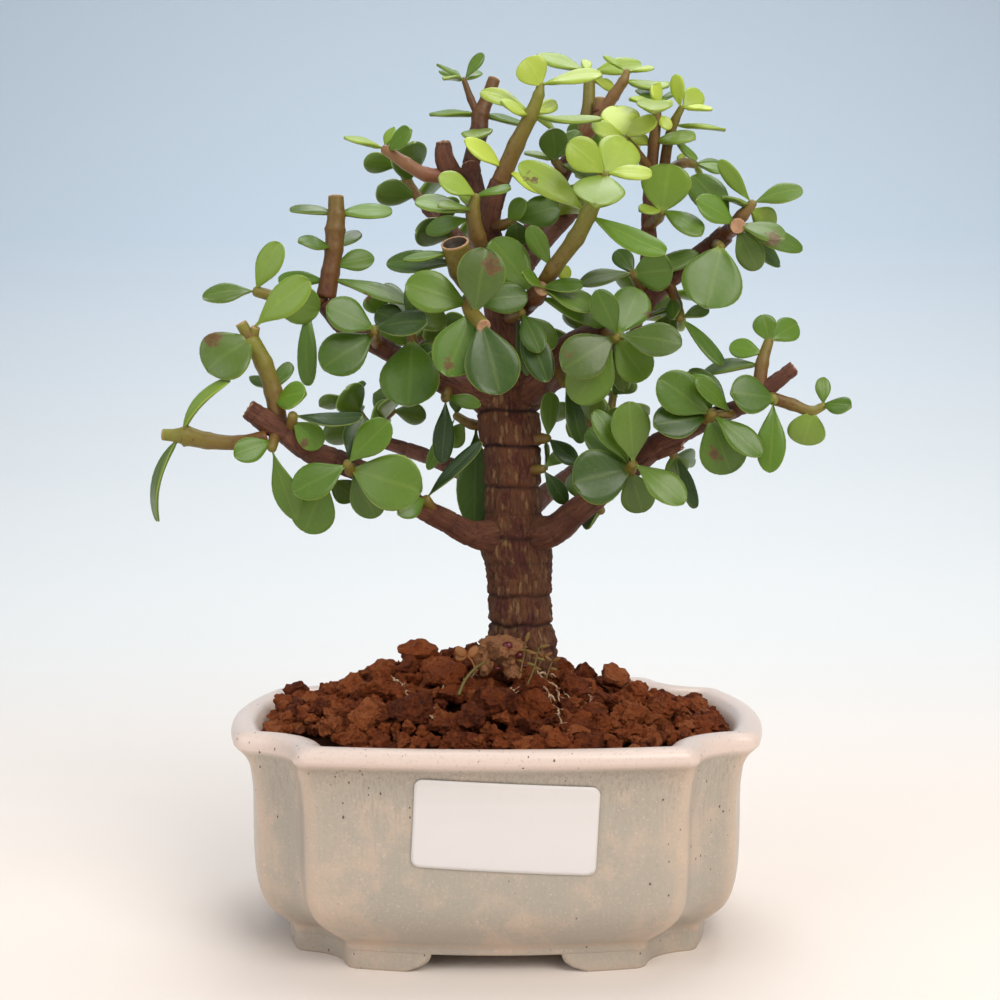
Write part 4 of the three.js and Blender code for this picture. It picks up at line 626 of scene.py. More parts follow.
# The knots that each blend of a Catmull-Rom curve lies between, level by level.
CURVE_BLENDS = [[(0, 1), (1, 2), (2, 3)], [(0, 2), (1, 3)], [(1, 2)]]


def smooth_path(points, step):
    """Points along a centripetal Catmull-Rom curve, about a step apart, and their stations."""
    points = np.asarray(points, float)
    scale = 1.0
    if len(points) == 2:
        points = np.array([points[0], points.mean(0), points[1]])
        scale = 0.5
    ends = [2 * points[0] - points[1], *points, 2 * points[-1] - points[-2]]
    out, stations = [], []
    for k in range(len(points) - 1):
        corners = [np.array(p) for p in ends[k:k + 4]]
        gaps = [np.linalg.norm(q - p) for p, q in zip(corners, corners[1:])]
        knots = np.cumsum([0.0] + [gap ** 0.5 for gap in gaps])
        count = max(2, int(math.ceil(gaps[1] / step)))
        for i in range(count):
            t = knots[1] + (knots[2] - knots[1]) * i / count
            level = corners
            for spans in CURVE_BLENDS:
                level = [p * (b - t) / (b - a) + q * (t - a) / (b - a)
                         for (a, b), p, q in zip(knots[np.array(spans)], level, level[1:])]
            out.append(level[0])
            stations.append((k + i / count) * scale)
    out.append(points[-1])
    stations.append((len(points) - 1) * scale)
    return np.array(out), np.array(stations)


def sweep(path, radii, sides, points, faces):
    """Adds a tube round a path to the points and faces. Its ends are triangles round a middle point."""
    start = len(points)
    points += tube_points(path, tangents(path), radii, sides) + [path[0], path[-1]]
    faces += tube_faces(len(path), sides, start, lids=False)
    first = start + len(path) * sides
    end = first - sides
    for i in range(sides):
        j = (i + 1) % sides
        faces.append([first, start + j, start + i])
        faces.append([first + 1, end + i, end + j])


# A leaf: rings of points round its blade from the root to the tip.
LEAF_RINGS = 15
LEAF_SIDES = 16
# The share of the length at which a blade is widest.
WIDEST = 0.62
# A blade's half thickness, in millimetres: the least, how much of the width it adds, and the most.
BLADE_THIN = 0.6
BLADE_GROWTH = 0.055
BLADE_MOST = 1.3
# How high the rim waves and how deep the groove over the midrib is, in millimetres, and how far the
# tip hooks down, as a share of the length.
RIM_WAVE = 0.3
GROOVE = 0.2
GROOVE_HALF = 0.25
HOOK = 0.07
TWIST = 0.4


def leaf_half_width(t, fullness):
    """The half width at a part t of the length, as a part of the widest: a wedge, then a round end."""
    if t > WIDEST:
        return math.sqrt(max(0.0, 1 - ((t - WIDEST) / (1 - WIDEST)) ** 2))
    return max(0.07, math.sin(math.pi / 2 * t / WIDEST) ** fullness)


def leaf_blade(leaf, pick, start):
    """A fleshy leaf as points and faces. For each point it also gives the share of the length, of the
    width and of the thickness, and how near the edge it lies."""
    way, length, face, side = leaf_frame(leaf)
    half = leaf["width"] / 2
    slim = min(1.0, leaf["width"] / length)
    fullness = 1.75 - 0.95 * clamp((slim - 0.5) / 0.45)
    thick = min(BLADE_MOST, BLADE_THIN + leaf["width"] * BLADE_GROWTH)
    wave = (pick * 7.3) % 1.0
    hook = HOOK * length * (pick - 0.35)
    points, shape, edges = [], [], []
    levels = [0.5 - 0.5 * math.cos(math.pi * i / LEAF_RINGS) for i in range(LEAF_RINGS + 1)]
    for t in levels:
        w = leaf_half_width(t, fullness) * half if t < 1 else 0.0
        body = thick * (0.45 + 0.55 * math.sin(math.pi * min(1, 0.15 + 0.85 * t)) ** 0.7)
        body = min(body, w + 0.02)
        sag = length * math.tan(math.radians(leaf["bend"]) / 4) * 2 * t * (1 - t)
        twist = TWIST * (wave - 0.5) * t
        for k in range(LEAF_SIDES):
            turn = 2 * math.pi * k / LEAF_SIDES
            s, h = math.cos(turn), math.sin(turn)
            cup = LEAF_CUP * leaf["width"] * s * s
            lip = RIM_WAVE * abs(s) ** 3 * math.sin(7 * t + 5 * wave + 2 * s)
            lip -= hook * max(0.0, t - 0.5) ** 2 * 4
            groove = -GROOVE * math.exp(-(s / GROOVE_HALF) ** 2) * math.sin(math.pi * t) if h > 0 else 0.0
            height = body * math.copysign(abs(h) ** 0.75, h) * (1 - 0.15 * abs(s)) + cup + lip + groove
            out = side * (s * w) + face * (sag + height + s * w * twist)
            points.append(leaf["base"] + way * (length * t) + out)
            shape.append((t, 0.5 + 0.5 * s, 0.5 + 0.5 * h))
            edges.append(max(abs(s), max(0.0, (t - WIDEST) / (1 - WIDEST)) ** 1.5))
    return points, tube_faces(LEAF_RINGS + 1, LEAF_SIDES, start), shape, edges


def waxy_leaf(settings):
    """Succulent leaf, grown: a waxy skin over wet green flesh, so it is glossy, soft at the rim where
    light comes through, and mottled by faint side veins and corky spots."""
    material, node, where = new_material("waxy_jade_leaf")
    growth = node("Attribute", {"attribute_name": "growth"})
    part = node("SeparateColor", Color=node("Attribute", {"attribute_name": "shape"}))
    grown = node("SeparateColor", Color=growth)
    mottle = node("TexNoise", Vector=where, Scale=1 / (4.5 * MM), Detail=4.0, Roughness=0.6)
    youth = node("Math", MULTIPLY_ADD_CLAMPED, mottle, 0.3, -0.17)
    youth = node("Math", ADD_CLAMPED, youth, grown)
    lower = node("MapRange", Value=youth, From_Max=0.55)
    upper = node("MapRange", Value=youth, From_Min=0.55)
    body = node("Mix", BLEND, Factor=lower, A=settings.old, B=settings.middle)
    body = node("Mix", BLEND, Factor=upper, A=body, B=settings.young)
    # Some leaves keep more of their pale bloom than others.
    bloom = node("MapRange", Value=grown.outputs[1], From_Min=0.4, To_Max=0.2)
    body = node("Mix", BLEND, Factor=bloom, A=body, B=linear("#848f4c"))
    # Side veins run out and forward from the midrib, one for each vein gap.
    across = node("Math", {"operation": "ABSOLUTE"},
                  node("Math", MULTIPLY_ADD, part.outputs[1], 2.0, -1.0))
    # The length of a usual leaf, by which a gap in millimetres becomes a part of the length.
    veins_per_leaf = 17 * MM / settings.vein_gap
    run = node("Math", MULTIPLY_ADD, across, -0.28, part)
    vein = node("Math", {"operation": "SINE"}, node("Math", MULTIPLY, run, 2 * math.pi * veins_per_leaf))
    vein_line = node("MapRange", SMOOTH, Value=vein, From_Min=0.2, To_Max=0.012)
    midrib = node("MapRange", SMOOTH, Value=across, From_Min=0.14, From_Max=0.0, To_Max=0.07)
    lines = node("Math", MAXIMUM, vein_line, midrib)
    veined = node("Mix", BLEND, Factor=lines, A=body, B=settings.rim)
    below = node("MapRange", Value=part.outputs[2], From_Min=0.45, From_Max=0.2, To_Max=0.55)
    two_faced = node("Mix", BLEND, Factor=below, A=veined, B=settings.under)
    edge = node("MapRange", SMOOTH, Value=grown.outputs[2], From_Min=0.93, To_Max=0.45)
    rimmed = node("Mix", BLEND, Factor=edge, A=two_faced, B=settings.rim)
    # The root of the blade is paler, as on the real leaf.
    root = node("MapRange", SMOOTH, Value=part, From_Min=0.16, From_Max=0.0, To_Max=0.4)
    rooted = node("Mix", BLEND, Factor=root, A=rimmed, B=settings.rim)
    # Corky brown spots: few on an old leaf, and crowded where the leaf was hurt.
    blotch = node("TexNoise", Vector=where, Scale=1 / (1.8 * MM), Detail=5.0, Roughness=0.7)
    hurt = node("Math", MULTIPLY_ADD, growth.outputs["Alpha"], 0.42, blotch)
    spot = node("MapRange", SMOOTH, Value=hurt, From_Min=0.69, From_Max=0.76, To_Max=0.85)
    corky = node("MapRange", Value=hurt, From_Min=0.7)
    cork = node("Mix", BLEND, Factor=corky, A=settings.scorch, B=linear("#4a2a1a"))
    spotted = node("Mix", BLEND, Factor=spot, A=rooted, B=cork)
    # Pale wax flecks, drawn at 0.5 mm, which is coarser than the real bloom, so that they show.
    fleck = node("TexVoronoi", Vector=where, Scale=1 / (1.3 * MM))
    fleck = node("MapRange", SMOOTH, Value=fleck, From_Min=0.16, From_Max=0.08, To_Max=0.12)
    flecked = node("Mix", BLEND, Factor=fleck, A=spotted, B=settings.rim)
    rough = node("MapRange", Value=mottle, From_Min=0.3, From_Max=0.7, To_Min=0.6 - 0.45 * settings.gloss,
                 To_Max=0.76 - 0.45 * settings.gloss)
    skin = node("TexNoise", Vector=where, Scale=1 / (1.6 * MM), Detail=3.0)
    height = node("Math", MULTIPLY_ADD, midrib, -9.0, skin)
    height = node("Math", MULTIPLY_ADD, spot, -1.6, height)
    bump = node("Bump", Height=height, Strength=0.4, Distance=0.12 * MM)
    shader = node("BsdfPrincipled", Base_Color=flecked, Roughness=rough, Normal=bump, IOR=1.42,
                  Subsurface_Weight=0.08, Subsurface_Radius=(0.7, 1.0, 0.3), Subsurface_Scale=1.2 * MM,
                  Coat_Weight=0.18, Coat_Roughness=0.25)
    node("OutputMaterial", Surface=shader)
    return material


def green_stem(settings):
    """Succulent stem, grown: thin smooth skin, green at the tip and red-brown where it turns woody,
    with fine lengthwise lines and a satin shine."""
    material, node, where = new_material("young_jade_stem")
    growth = node("Attribute", {"attribute_name": "growth"})
    grown = node("SeparateColor", Color=growth)
    mottle = node("TexNoise", Vector=where, Scale=1 / (1.6 * MM), Detail=6.0, Roughness=0.7)
    mix = node("Math", ADD_CLAMPED, node("Math", MULTIPLY_ADD, mottle, 0.6, -0.3), grown)
    colour = node("Mix", BLEND, Factor=mix, A=settings.flush, B=settings.stem)
    colour = node("Mix", BLEND, Factor=growth.outputs["Alpha"], A=colour, B=linear("#93594a"))
    dark = node("MapRange", SMOOTH, Value=grown.outputs[1], To_Max=0.92)
    colour = node("Mix", BLEND, Factor=dark, A=colour, B=linear("#241510"))
    # Dark nicks in the skin.
    nick = node("MapRange", SMOOTH, Value=mottle, From_Min=0.42, From_Max=0.32, To_Max=0.6)
    colour = node("Mix", BLEND, Factor=nick, A=colour, B=linear("#3b2118"))
    cut = node("MapRange", SMOOTH, Value=grown.outputs[2], From_Min=0.35, From_Max=0.65)
    tan = node("Mix", BLEND, Factor=mottle, A=linear("#6e3c26"), B=linear("#d8b088"))
    colour = node("Mix", BLEND, Factor=cut, A=colour, B=tan)
    rough = node("MapRange", Value=grown.outputs[2], To_Min=0.42, To_Max=0.85)
    bump = node("Bump", Height=mottle, Strength=0.7, Distance=0.3 * MM)
    shader = node("BsdfPrincipled", Base_Color=colour, Roughness=rough, Normal=bump, IOR=1.42,
                  Subsurface_Weight=0.06, Subsurface_Radius=(0.8, 0.7, 0.3), Subsurface_Scale=1.0 * MM)
    node("OutputMaterial", Surface=shader)
    return material


# How woody a shoot's stems are, from 0 for green to 1 for bark, where its leaves don't tell it.
WOODY_STEMS = {
    "apex": 0.85, "front_stub": 0.6, "left_top": 0.72, "left_stub": 0.35, "left_tip": 0.35,
    "front_stem": 0.15, "long_stem": 0.2, "top_left": 0.55, "right_cut": 0.85, "right_top": 0.5,
    "pink_twig": 0.5, "back_stem": 0.4, "top_right_a": 0.5, "top_right_b": 0.45, "right_twig": 0.6,
    "front_low": 0.6, "inner_right": 0.9, "top_front_left": 0.55, "right_far": 0.45,
}
# Stems that were pruned: their ends are cut faces.
PRUNED = {"apex": [0], "front_stub": [0], "left_top": [0], "left_stub": [1, 2], "left_tip": [0],
          "right_cut": [0], "front_low": [0], "inner_right": [0], "pink_twig": [1]}
STEM_SIDES = 14
STEM_STEP = 0.9
NODE_SWELL = 0.11
STEM_OVER = 1.2
# The leaves turn younger from this height up, over this depth.
CROWN_FROM = 205
CROWN_DEEP = 45
# Stems with a pinkish skin, and how pink it is.
PINK_STEMS = {"top_left": 0.55, "pink_twig": 0.3, "right_top": 0.25, "top_right_a": 0.2}
# Stubs that dried hollow: how deep the hollow goes, in millimetres.
HOLLOW_STUBS = {"front_stub": 2.6}
# Where leaves are hurt: seen at u and v, and how far the brown reaches.
LEAF_MARKS = [
    [-2, 205, 3.2], [-15, 175, 2.2], [68, 147, 2.8], [-88, 183, 3.6], [86, 213, 2.6], [-60, 150, 2],
    [22, 178, 1.8], [47, 190, 1.6], [-40, 195, 1.6], [10, 232, 1.8]
]


def hurt_share(points):
    """How far each point lies in a hurt part of a leaf, from 0 to 1."""
    at = np.asarray(points, float)
    far = 1 - at[:, 1] / EYE[1]
    u = EYE[0] + (at[:, 0] - EYE[0]) / far
    v = EYE[2] + (at[:, 2] - EYE[2]) / far
    share = np.zeros(len(at))
    for mark_u, mark_v, reach in LEAF_MARKS:
        share = np.maximum(share, np.exp(-((u - mark_u) ** 2 + (v - mark_v) ** 2) / reach ** 2))
    return share


def leafy_stem(limb, woody, pruned, hollow, start):
    """A stem with a swollen ring at each pair of leaves, as points, faces and growth colours."""
    path, stations = smooth_path([p for p, _ in limb], STEM_STEP)
    radii = np.interp(stations, range(len(limb)), [r for _, r in limb])
    swell = np.exp(-((stations - np.round(stations)) * 6) ** 2)
    inner = (stations > 0.5) & (stations < len(limb) - 1.2)
    radii = radii * (1 + NODE_SWELL * swell * inner) * (1 - 0.25 * NODE_SWELL)
    way = unit(path[-1] - path[-2])
    if hollow:
        ends = [(0.1, 0.96), (0.0, 0.82), (-hollow * 0.5, 0.72), (-hollow, 0.5)]
    elif pruned:
        ends = [(0.0, 1.0), (0.12, 0.9), (-0.15, 0.66), (-0.3, 0.3)]
    else:
        ends = [(STEM_OVER * 0.5, 0.88), (STEM_OVER * 0.9, 0.5)]
    path = np.vstack([path] + [[path[-1] + way * out] for out, _ in ends])
    radii = np.append(radii, [radii[-1] * part for _, part in ends])
    body = len(stations)
    ways = tangents(path[:body])
    ways = np.vstack([ways, np.repeat(ways[-1:], len(ends), axis=0)])
    points = tube_points(path, ways, radii, STEM_SIDES)
    faces = tube_faces(len(path), STEM_SIDES, start)
    growth = []
    for k in range(len(path)):
        t = stations[k] / stations[-1] if k < body else 1.0
        cut = 1.0 if pruned and k >= body else 0.0
        green = clamp((1 - woody) * (0.25 + 1.35 * t))
        dark = max(0.0, woody - 0.6) * 1.6 * (1 - 0.5 * t)
        if hollow and k > body:
            cut, dark = 0.34, 1.3
        elif pruned and k < body:
            to_end = np.linalg.norm(path[k] - path[body - 1])
            cut = 0.55 * max(0.0, 1 - to_end / 1.8)
        growth += [(green, dark, cut)] * STEM_SIDES
    return points, faces, growth


class BONSAI_OT_leafy_shoots(bpy.types.Operator):
    """Grow every leafy shoot: its stems and its fleshy leaves"""
    bl_idname = "bonsai.leafy_shoots"
    bl_label = "Leafy Shoots"

    def execute(self, context):
        settings = context.scene.bonsai_leaf
        leaf_look, stem_look = waxy_leaf(settings), green_stem(settings)
        for number, shoot in enumerate(grown_shoots()):
            draw = draws(5000 + 61 * number)
            points, faces, shape, growth, looks = [], [], [], [], []
            woody = WOODY_STEMS.get(shoot["name"], 0.75 - 0.5 * shoot["youth"])
            pink = PINK_STEMS.get(shoot["name"], 0.0)
            for k, limb in enumerate(shoot["stems"]):
                pruned = k in PRUNED.get(shoot["name"], [])
                hollow = HOLLOW_STUBS.get(shoot["name"], 0.0)
                p, f, g = leafy_stem(limb, woody, pruned, hollow, len(points))
                points += p
                faces += f
                growth += [(*row, pink) for row in g]
                shape += [(0.0, 0.5, 1.0)] * len(p)
                looks += [1] * len(f)
            for leaf in shoot["leaves"]:
                pick = draw(0, 1)
                small = max(0.0, 1 - np.linalg.norm(leaf["tip"] - leaf["base"]) / 14)
                crown = clamp((leaf["tip"][2] - CROWN_FROM) / CROWN_DEEP)
                youth = clamp(shoot["youth"] + 0.35 * small + 0.14 * crown + draw(-0.22, 0.22))
                p, f, s, edges = leaf_blade(leaf, pick, len(points))
                points += p
                faces += f
                shape += s
                growth += [(youth, pick, edge, mark) for edge, mark in zip(edges, hurt_share(p))]
                looks += [0] * len(f)
            obj = new_mesh("leafy_" + shoot["name"], points, faces, [leaf_look, stem_look])
            obj.data.polygons.foreach_set("material_index", looks)
            paint(obj, "shape", shape)
            paint(obj, "growth", growth)
            seat(obj, "leaf", "shoot_" + shoot["name"])
        return {"FINISHED"}


# Leaf scars that ring the trunk, as height and how deep they cut it, and their depth and width.
TRUNK_SCARS = [
    [86.5, 0.5], [94, 1.0], [103, 0.8], [113, 0.35], [121, 0.9], [128.5, 0.3], [136.6, 0.85], [143, 0.2],
    [149, 1.2], [160, 1.2], [167, 0.7]
]
SCAR_DEPTH = 0.9
SCAR_HALF = 0.5
BRANCH_SCAR_GAP = 8.5
WOOD_SIDES = 28
WOOD_VOXEL = 0.6
# The rough bark of the trunk ends here, over the ten millimetres below.
ROUGH_TOP = 178
# How far rough bark runs out along a branch, and the height above which it doesn't.
ROUGH_RUN = 13
ROUGH_RUN_TOP = 172
# The bark is roughest this low, and less so over a depth above.
ROUGHEST = 110
ROUGHEST_DEEP = 14
# Pruned and broken ends of the wood: the limb, and how old its cut is, from 0 tan to 1 black.
WOOD_ENDS = {1: 0.5, 2: 0.9, 3: 0.3, 4: 0.35, 5: 0.8, 7: 0.35, 9: 0.3, 10: 0.85, 11: 0.3, 12: 0.5}
# How deep each of those ends is broken or rotted out, in millimetres, where it isn't cut flat.
HOLLOW_ENDS = {2: 1.6, 5: 1.8, 10: 2.2}


def bark(settings):
    """Fibrous bark of a succulent's trunk, grown: papery reddish strands along the limb, ringed by
    dark leaf scars and flaking in ochre patches, so it is matt, streaky and cracked."""
    material, node, where = new_material("ringed_jade_bark")
    limb = node("Attribute", {"attribute_name": "limb"})
    about = node("SeparateColor", Color=limb)
    trunk, crease, cut = about.outputs[0], about.outputs[1], about.outputs[2]
    # Strands follow the limb: x of this attribute runs along it, and is drawn out seven times.
    strand_at = node("Attribute", {"attribute_name": "strand"}).outputs["Vector"]
    drawn = node("Mapping", Vector=strand_at, Scale=(1 / 7, 1, 1))
    strand = node("TexNoise", Vector=drawn, Scale=1 / settings.fibre, Detail=7.0, Roughness=0.75,
                  Distortion=0.7)
    lump = node("TexNoise", Vector=where, Scale=1 / (1.6 * MM), Detail=7.0, Roughness=0.75)
    # Patches of smooth dark-red skin, 8 mm long, that the rough bark has come away from.
    longer = node("Mapping", Vector=strand_at, Scale=(0.5, 1, 1))
    patch = node("TexNoise", Vector=longer, Scale=1 / (6 * MM), Detail=4.0, Roughness=0.6)
    bare = node("MapRange", SMOOTH, Value=patch, From_Min=0.53, From_Max=0.58)
    # Flakes of old skin stand off as islands 1.5 mm wide and three times as long.
    warp = node("VectorMath", {"operation": "SCALE"}, lump.outputs["Color"], Scale=1.6 * MM)
    warped = node("VectorMath", ADD, strand_at, warp)
    flaked = node("Mapping", Vector=warped, Scale=(0.33, 1, 1))
    flake = node("TexVoronoi", Vector=flaked, Scale=1 / (1.6 * MM))
    pick = node("SeparateColor", Color=flake.outputs["Color"])
    island = node("MapRange", SMOOTH, Value=flake, From_Min=0.5, From_Max=0.3)
    chosen = node("MapRange", SMOOTH, Value=pick.outputs[1], From_Min=0.3, From_Max=0.6)
    island = node("Math", MULTIPLY, island, chosen)
    rough_skin = node("Math", MULTIPLY_ADD, bare, -0.85, 1.0)
    island = node("Math", MULTIPLY, island, rough_skin)
    on_trunk = node("Mix", BLEND, Factor=bare, A=settings.bark, B=linear("#50241a"))
    tone = node("MapRange", SMOOTH, Value=patch, From_Min=0.38, From_Max=0.62)
    on_branch = node("Mix", BLEND, Factor=tone, A=settings.branch, B=linear("#6c402c"))
    base = node("Mix", BLEND, Factor=trunk, A=on_branch, B=on_trunk)
    light = node("MapRange", SMOOTH, Value=strand, From_Min=0.5, From_Max=0.72, To_Max=0.5)
    raised = node("Math", MULTIPLY, island, trunk)
    share = node("Math", MULTIPLY_ADD_CLAMPED, raised, 0.75, light)
    ridged = node("Mix", BLEND, Factor=share, A=base, B=settings.ridge)
    deep = node("MapRange", SMOOTH, Value=strand, From_Min=0.5, From_Max=0.34, To_Max=0.9)
    # Crease holds the dark of the scars and the painted shade in the low plates of the trunk.
    dark = node("Math", MAXIMUM, deep, crease)
    creased = node("Mix", BLEND, Factor=dark, A=ridged, B=settings.crease)
    # A pruned end: tan pith, cracked, redder in patches, and black where it is old.
    pith = node("MapRange", SMOOTH, Value=lump, From_Min=0.38, From_Max=0.62)
    fresh = node("Mix", BLEND, Factor=pith, A=linear("#8e5740"), B=settings.cut)
    aged = node("Math", MULTIPLY_ADD, limb.outputs["Alpha"], 1.5, -0.55)
    aged = node("Math", SUBTRACT_CLAMPED, aged, node("Math", MULTIPLY, pith, 0.4))
    wood = node("Mix", BLEND, Factor=aged, A=fresh, B=settings.crease)
    ended = node("Mix", BLEND, Factor=cut, A=creased, B=wood)
    rough = node("Math", MULTIPLY_ADD, trunk, 0.25,
                 node("MapRange", Value=strand, To_Min=0.62, To_Max=0.42))
    height = node("Math", MULTIPLY_ADD, lump, 0.6, strand)
    height = node("Math", MULTIPLY_ADD, raised, 0.5, height)
    bump = node("Bump", Height=height, Strength=0.9, Distance=0.8 * MM)
    shader = node("BsdfPrincipled", Base_Color=ended, Roughness=rough, Normal=bump, IOR=1.5,
                  Specular_IOR_Level=0.35)
    node("OutputMaterial", Surface=shader)
    return material


def limb_coordinates(points, paths):
    """For each point its limb, the distance along it, and the offsets to its side and up."""
    best = np.full(len(points), 1e9)
    owner = np.zeros(len(points), int)
    local = np.zeros((len(points), 3))
    for number, (path, radii) in enumerate(paths):
        run = np.concatenate([[0], np.cumsum(np.linalg.norm(np.diff(path, axis=0), axis=1))])
        for q, way, r, s in zip(path, tangents(path), radii, run):
            off = points - q
            gap = np.linalg.norm(off, axis=1) - r
            closer = gap < best
            if not closer.any():
                continue
            side, up = square_to(way)
            near = off[closer]
            best[closer] = gap[closer]
            owner[closer] = number
            local[closer] = np.column_stack([s + near @ way, near @ side, near @ up])
    return owner, local


class BONSAI_OT_wood(bpy.types.Operator):
    """Grow the trunk and its branches as one wood, with scars, strands and pruned ends"""
    bl_idname = "bonsai.wood"
    bl_label = "Trunk and Branches"

    def execute(self, context):
        settings = context.scene.bonsai_bark
        points, faces, paths = [], [], []
        for limb in LIMBS:
            path, stations = smooth_path([p for p, _ in limb], 1.0)
            radii = np.interp(stations, range(len(limb)), [r for _, r in limb])
            sweep(path, radii, WOOD_SIDES, points, faces)
            paths.append((path, radii))
        obj = new_mesh("bark_wood", points, faces, [bark(settings)])
        fuse = obj.modifiers.new("fuse", "REMESH")
        fuse.mode = "VOXEL"
        fuse.voxel_size = WOOD_VOXEL * MM
        fuse.use_smooth_shade = True
        soften = obj.modifiers.new("soften", "SMOOTH")
        soften.iterations = 3
        soften.factor = 0.5
        fused = apply_modifiers(obj, context)
        count = len(fused.vertices)
        if count < 1000:
            raise RuntimeError("the wood didn't fuse")
        at = read_vertices(fused, "co") / MM
        normal = read_vertices(fused, "normal")
        owner, local = limb_coordinates(at, paths)
        trunk = np.where(owner == 0, 1.0, 0.0)
        # The trunk's bark thins out towards the crown and where a branch leaves it.
        trunk *= np.clip((ROUGH_TOP - at[:, 2]) / 10, 0, 1)
        root = np.clip(1 - local[:, 0] / ROUGH_RUN, 0, 1) * (owner > 0) * (at[:, 2] < ROUGH_RUN_TOP)
        trunk = np.maximum(trunk, 0.8 * root)
        # Scars waver a little round the trunk. The bark swells just above each and steps in below.
        waver = 0.8 * smooth_noise(at * [1, 1, 0.3], 7.0)
        sunk, swell, cut, age = np.zeros((4, count))
        for z, depth in TRUNK_SCARS:
            off = at[:, 2] - z - waver
            sunk = np.maximum(sunk, depth * np.exp(-(off / SCAR_HALF) ** 2))
            swell += depth * np.exp(-((off - 1.7) / 1.1) ** 2)
            swell -= 0.5 * depth * np.exp(-((off + 1.9) / 1.3) ** 2)
        scar_run = (local[:, 0] + 1.4 * smooth_noise(at, 8.0, 31.0)) % BRANCH_SCAR_GAP
        nip = np.exp(-((scar_run - BRANCH_SCAR_GAP / 2) / 0.45) ** 2)
        drawn = local * [0.22, 1, 1]
        strands = smooth_noise(drawn, 1.9, 3.0)
        plates = smooth_noise(local * [0.5, 1, 1], 4.2, 9.0)
        fine = smooth_noise(at, 1.3, 5.0)
        low = np.clip((ROUGHEST + ROUGHEST_DEEP - at[:, 2]) / ROUGHEST_DEEP, 0, 1)
        push = trunk * (0.35 * swell - SCAR_DEPTH * sunk + 0.5 * strands + (0.4 + 0.5 * low) * plates
                        + (0.25 + 0.3 * low) * fine)
        push += (1 - trunk) * (0.2 * plates + 0.1 * fine + 0.12 * strands - 0.22 * nip)
        for i, old in WOOD_ENDS.items():
            path, radii = paths[i]
            way = unit(path[-1] - path[-3])
            ahead = (at - path[-1]) @ way
            out = np.linalg.norm(at - path[-1] - ahead[:, None] * way, axis=1)
            here = (ahead > -0.75) & (out < radii[-1] * 1.35) & (normal @ way > 0.35)
            cut[here] = 1
            age[here] = old
            crown = here & (out < radii[-1] * 0.8)
            deep = HOLLOW_ENDS.get(i, 0.3)
            push[crown] -= deep * (0.75 + 0.5 * fine[crown]) * (1 - (out[crown] / radii[-1]) ** 3)
        fused.vertices.foreach_set("co", ((at + normal * push[:, None]) * MM).ravel())
        # The crease share darkens the leaf scars, which are darker of themselves, and adds painted shade
        # where the bark plates are pushed in.
        crease = np.clip(trunk * sunk * 0.95 + 0.3 * np.clip(-plates, 0, 1) + (1 - trunk) * 0.35 * nip, 0, 1)
        paint(obj, "limb", np.column_stack([trunk, crease, cut, age]))
        strand = fused.attributes.new("strand", "FLOAT_VECTOR", "POINT")
        strand.data.foreach_set("vector", (local * MM).astype(np.float32).ravel())
        fused.polygons.foreach_set("use_smooth", [True] * len(fused.polygons))
        fused.update()
        seat(obj, "bark", "wood")
        return {"FINISHED"}


# The pot. Half width and half depth at the rim's corner ridges, and how far its faces bow out.
POT_A = 76.4
POT_B = 58.5
BOW_A = 5
BOW_B = 3.5
RIDGE_R = 5
NOTCH_PRESS = 0.01
# Outside profile from the plinth up to the lip and down inside: [inset from the rim, z, notch radius].
POT_PROFILE = [
    [20, 5.2, 17.5], [16.6, 5.2, 17.5], [16, 5.7, 17.5], [15.9, 7.0, 17.5], [15.5, 7.9, 17.5],
    [14.4, 9.0, 17.3], [12.4, 11.2, 17], [10.2, 13.8, 16.8], [8.6, 16.6, 16.6], [7.4, 20.2, 16.5],
    [6.8, 25, 16.5], [6.5, 34, 16.5], [6.4, 46, 16.5], [5.9, 52, 16.6], [4.9, 57, 17], [3.4, 60, 18],
    [1.4, 61.8, 19.6], [0.2, 63, 20.6], [0, 64.4, 21], [0.6, 66, 21], [2.6, 67, 21], [5.6, 66.5, 21],
    [7.4, 64.8, 20.8], [8.8, 62, 20.5], [10.6, 54, 19.4], [12.2, 46, 18.5], [13.4, 30, 18.2],
    [14, 20, 18], [16, 14, 18], [20, 13, 18],
]
LIP_ROW = 18
# The profile row of the painted highlight line where the plinth meets the wall.
PLINTH_ROW = 4.2
PROFILE_STEP = 1.1
OUTLINE_POINTS = {"face": 15, "ridge": 7, "notch": 11, "front": 12}
FOOT_INSET = 16.2
FOOT_NOTCH = 17.5
FOOT_WIDTH = 8
FOOT_GAP_FRONT = [26, 18.5]
FOOT_GAP_SIDE = [20, 13.5]
FOOT_LEVELS = [0.0, 0.5, 1.6, 3.2, 4.8, 6.4]
FOOT_STEPS = 34
DRAIN_HOLES = [-32, 32]
DRAIN_R = 7


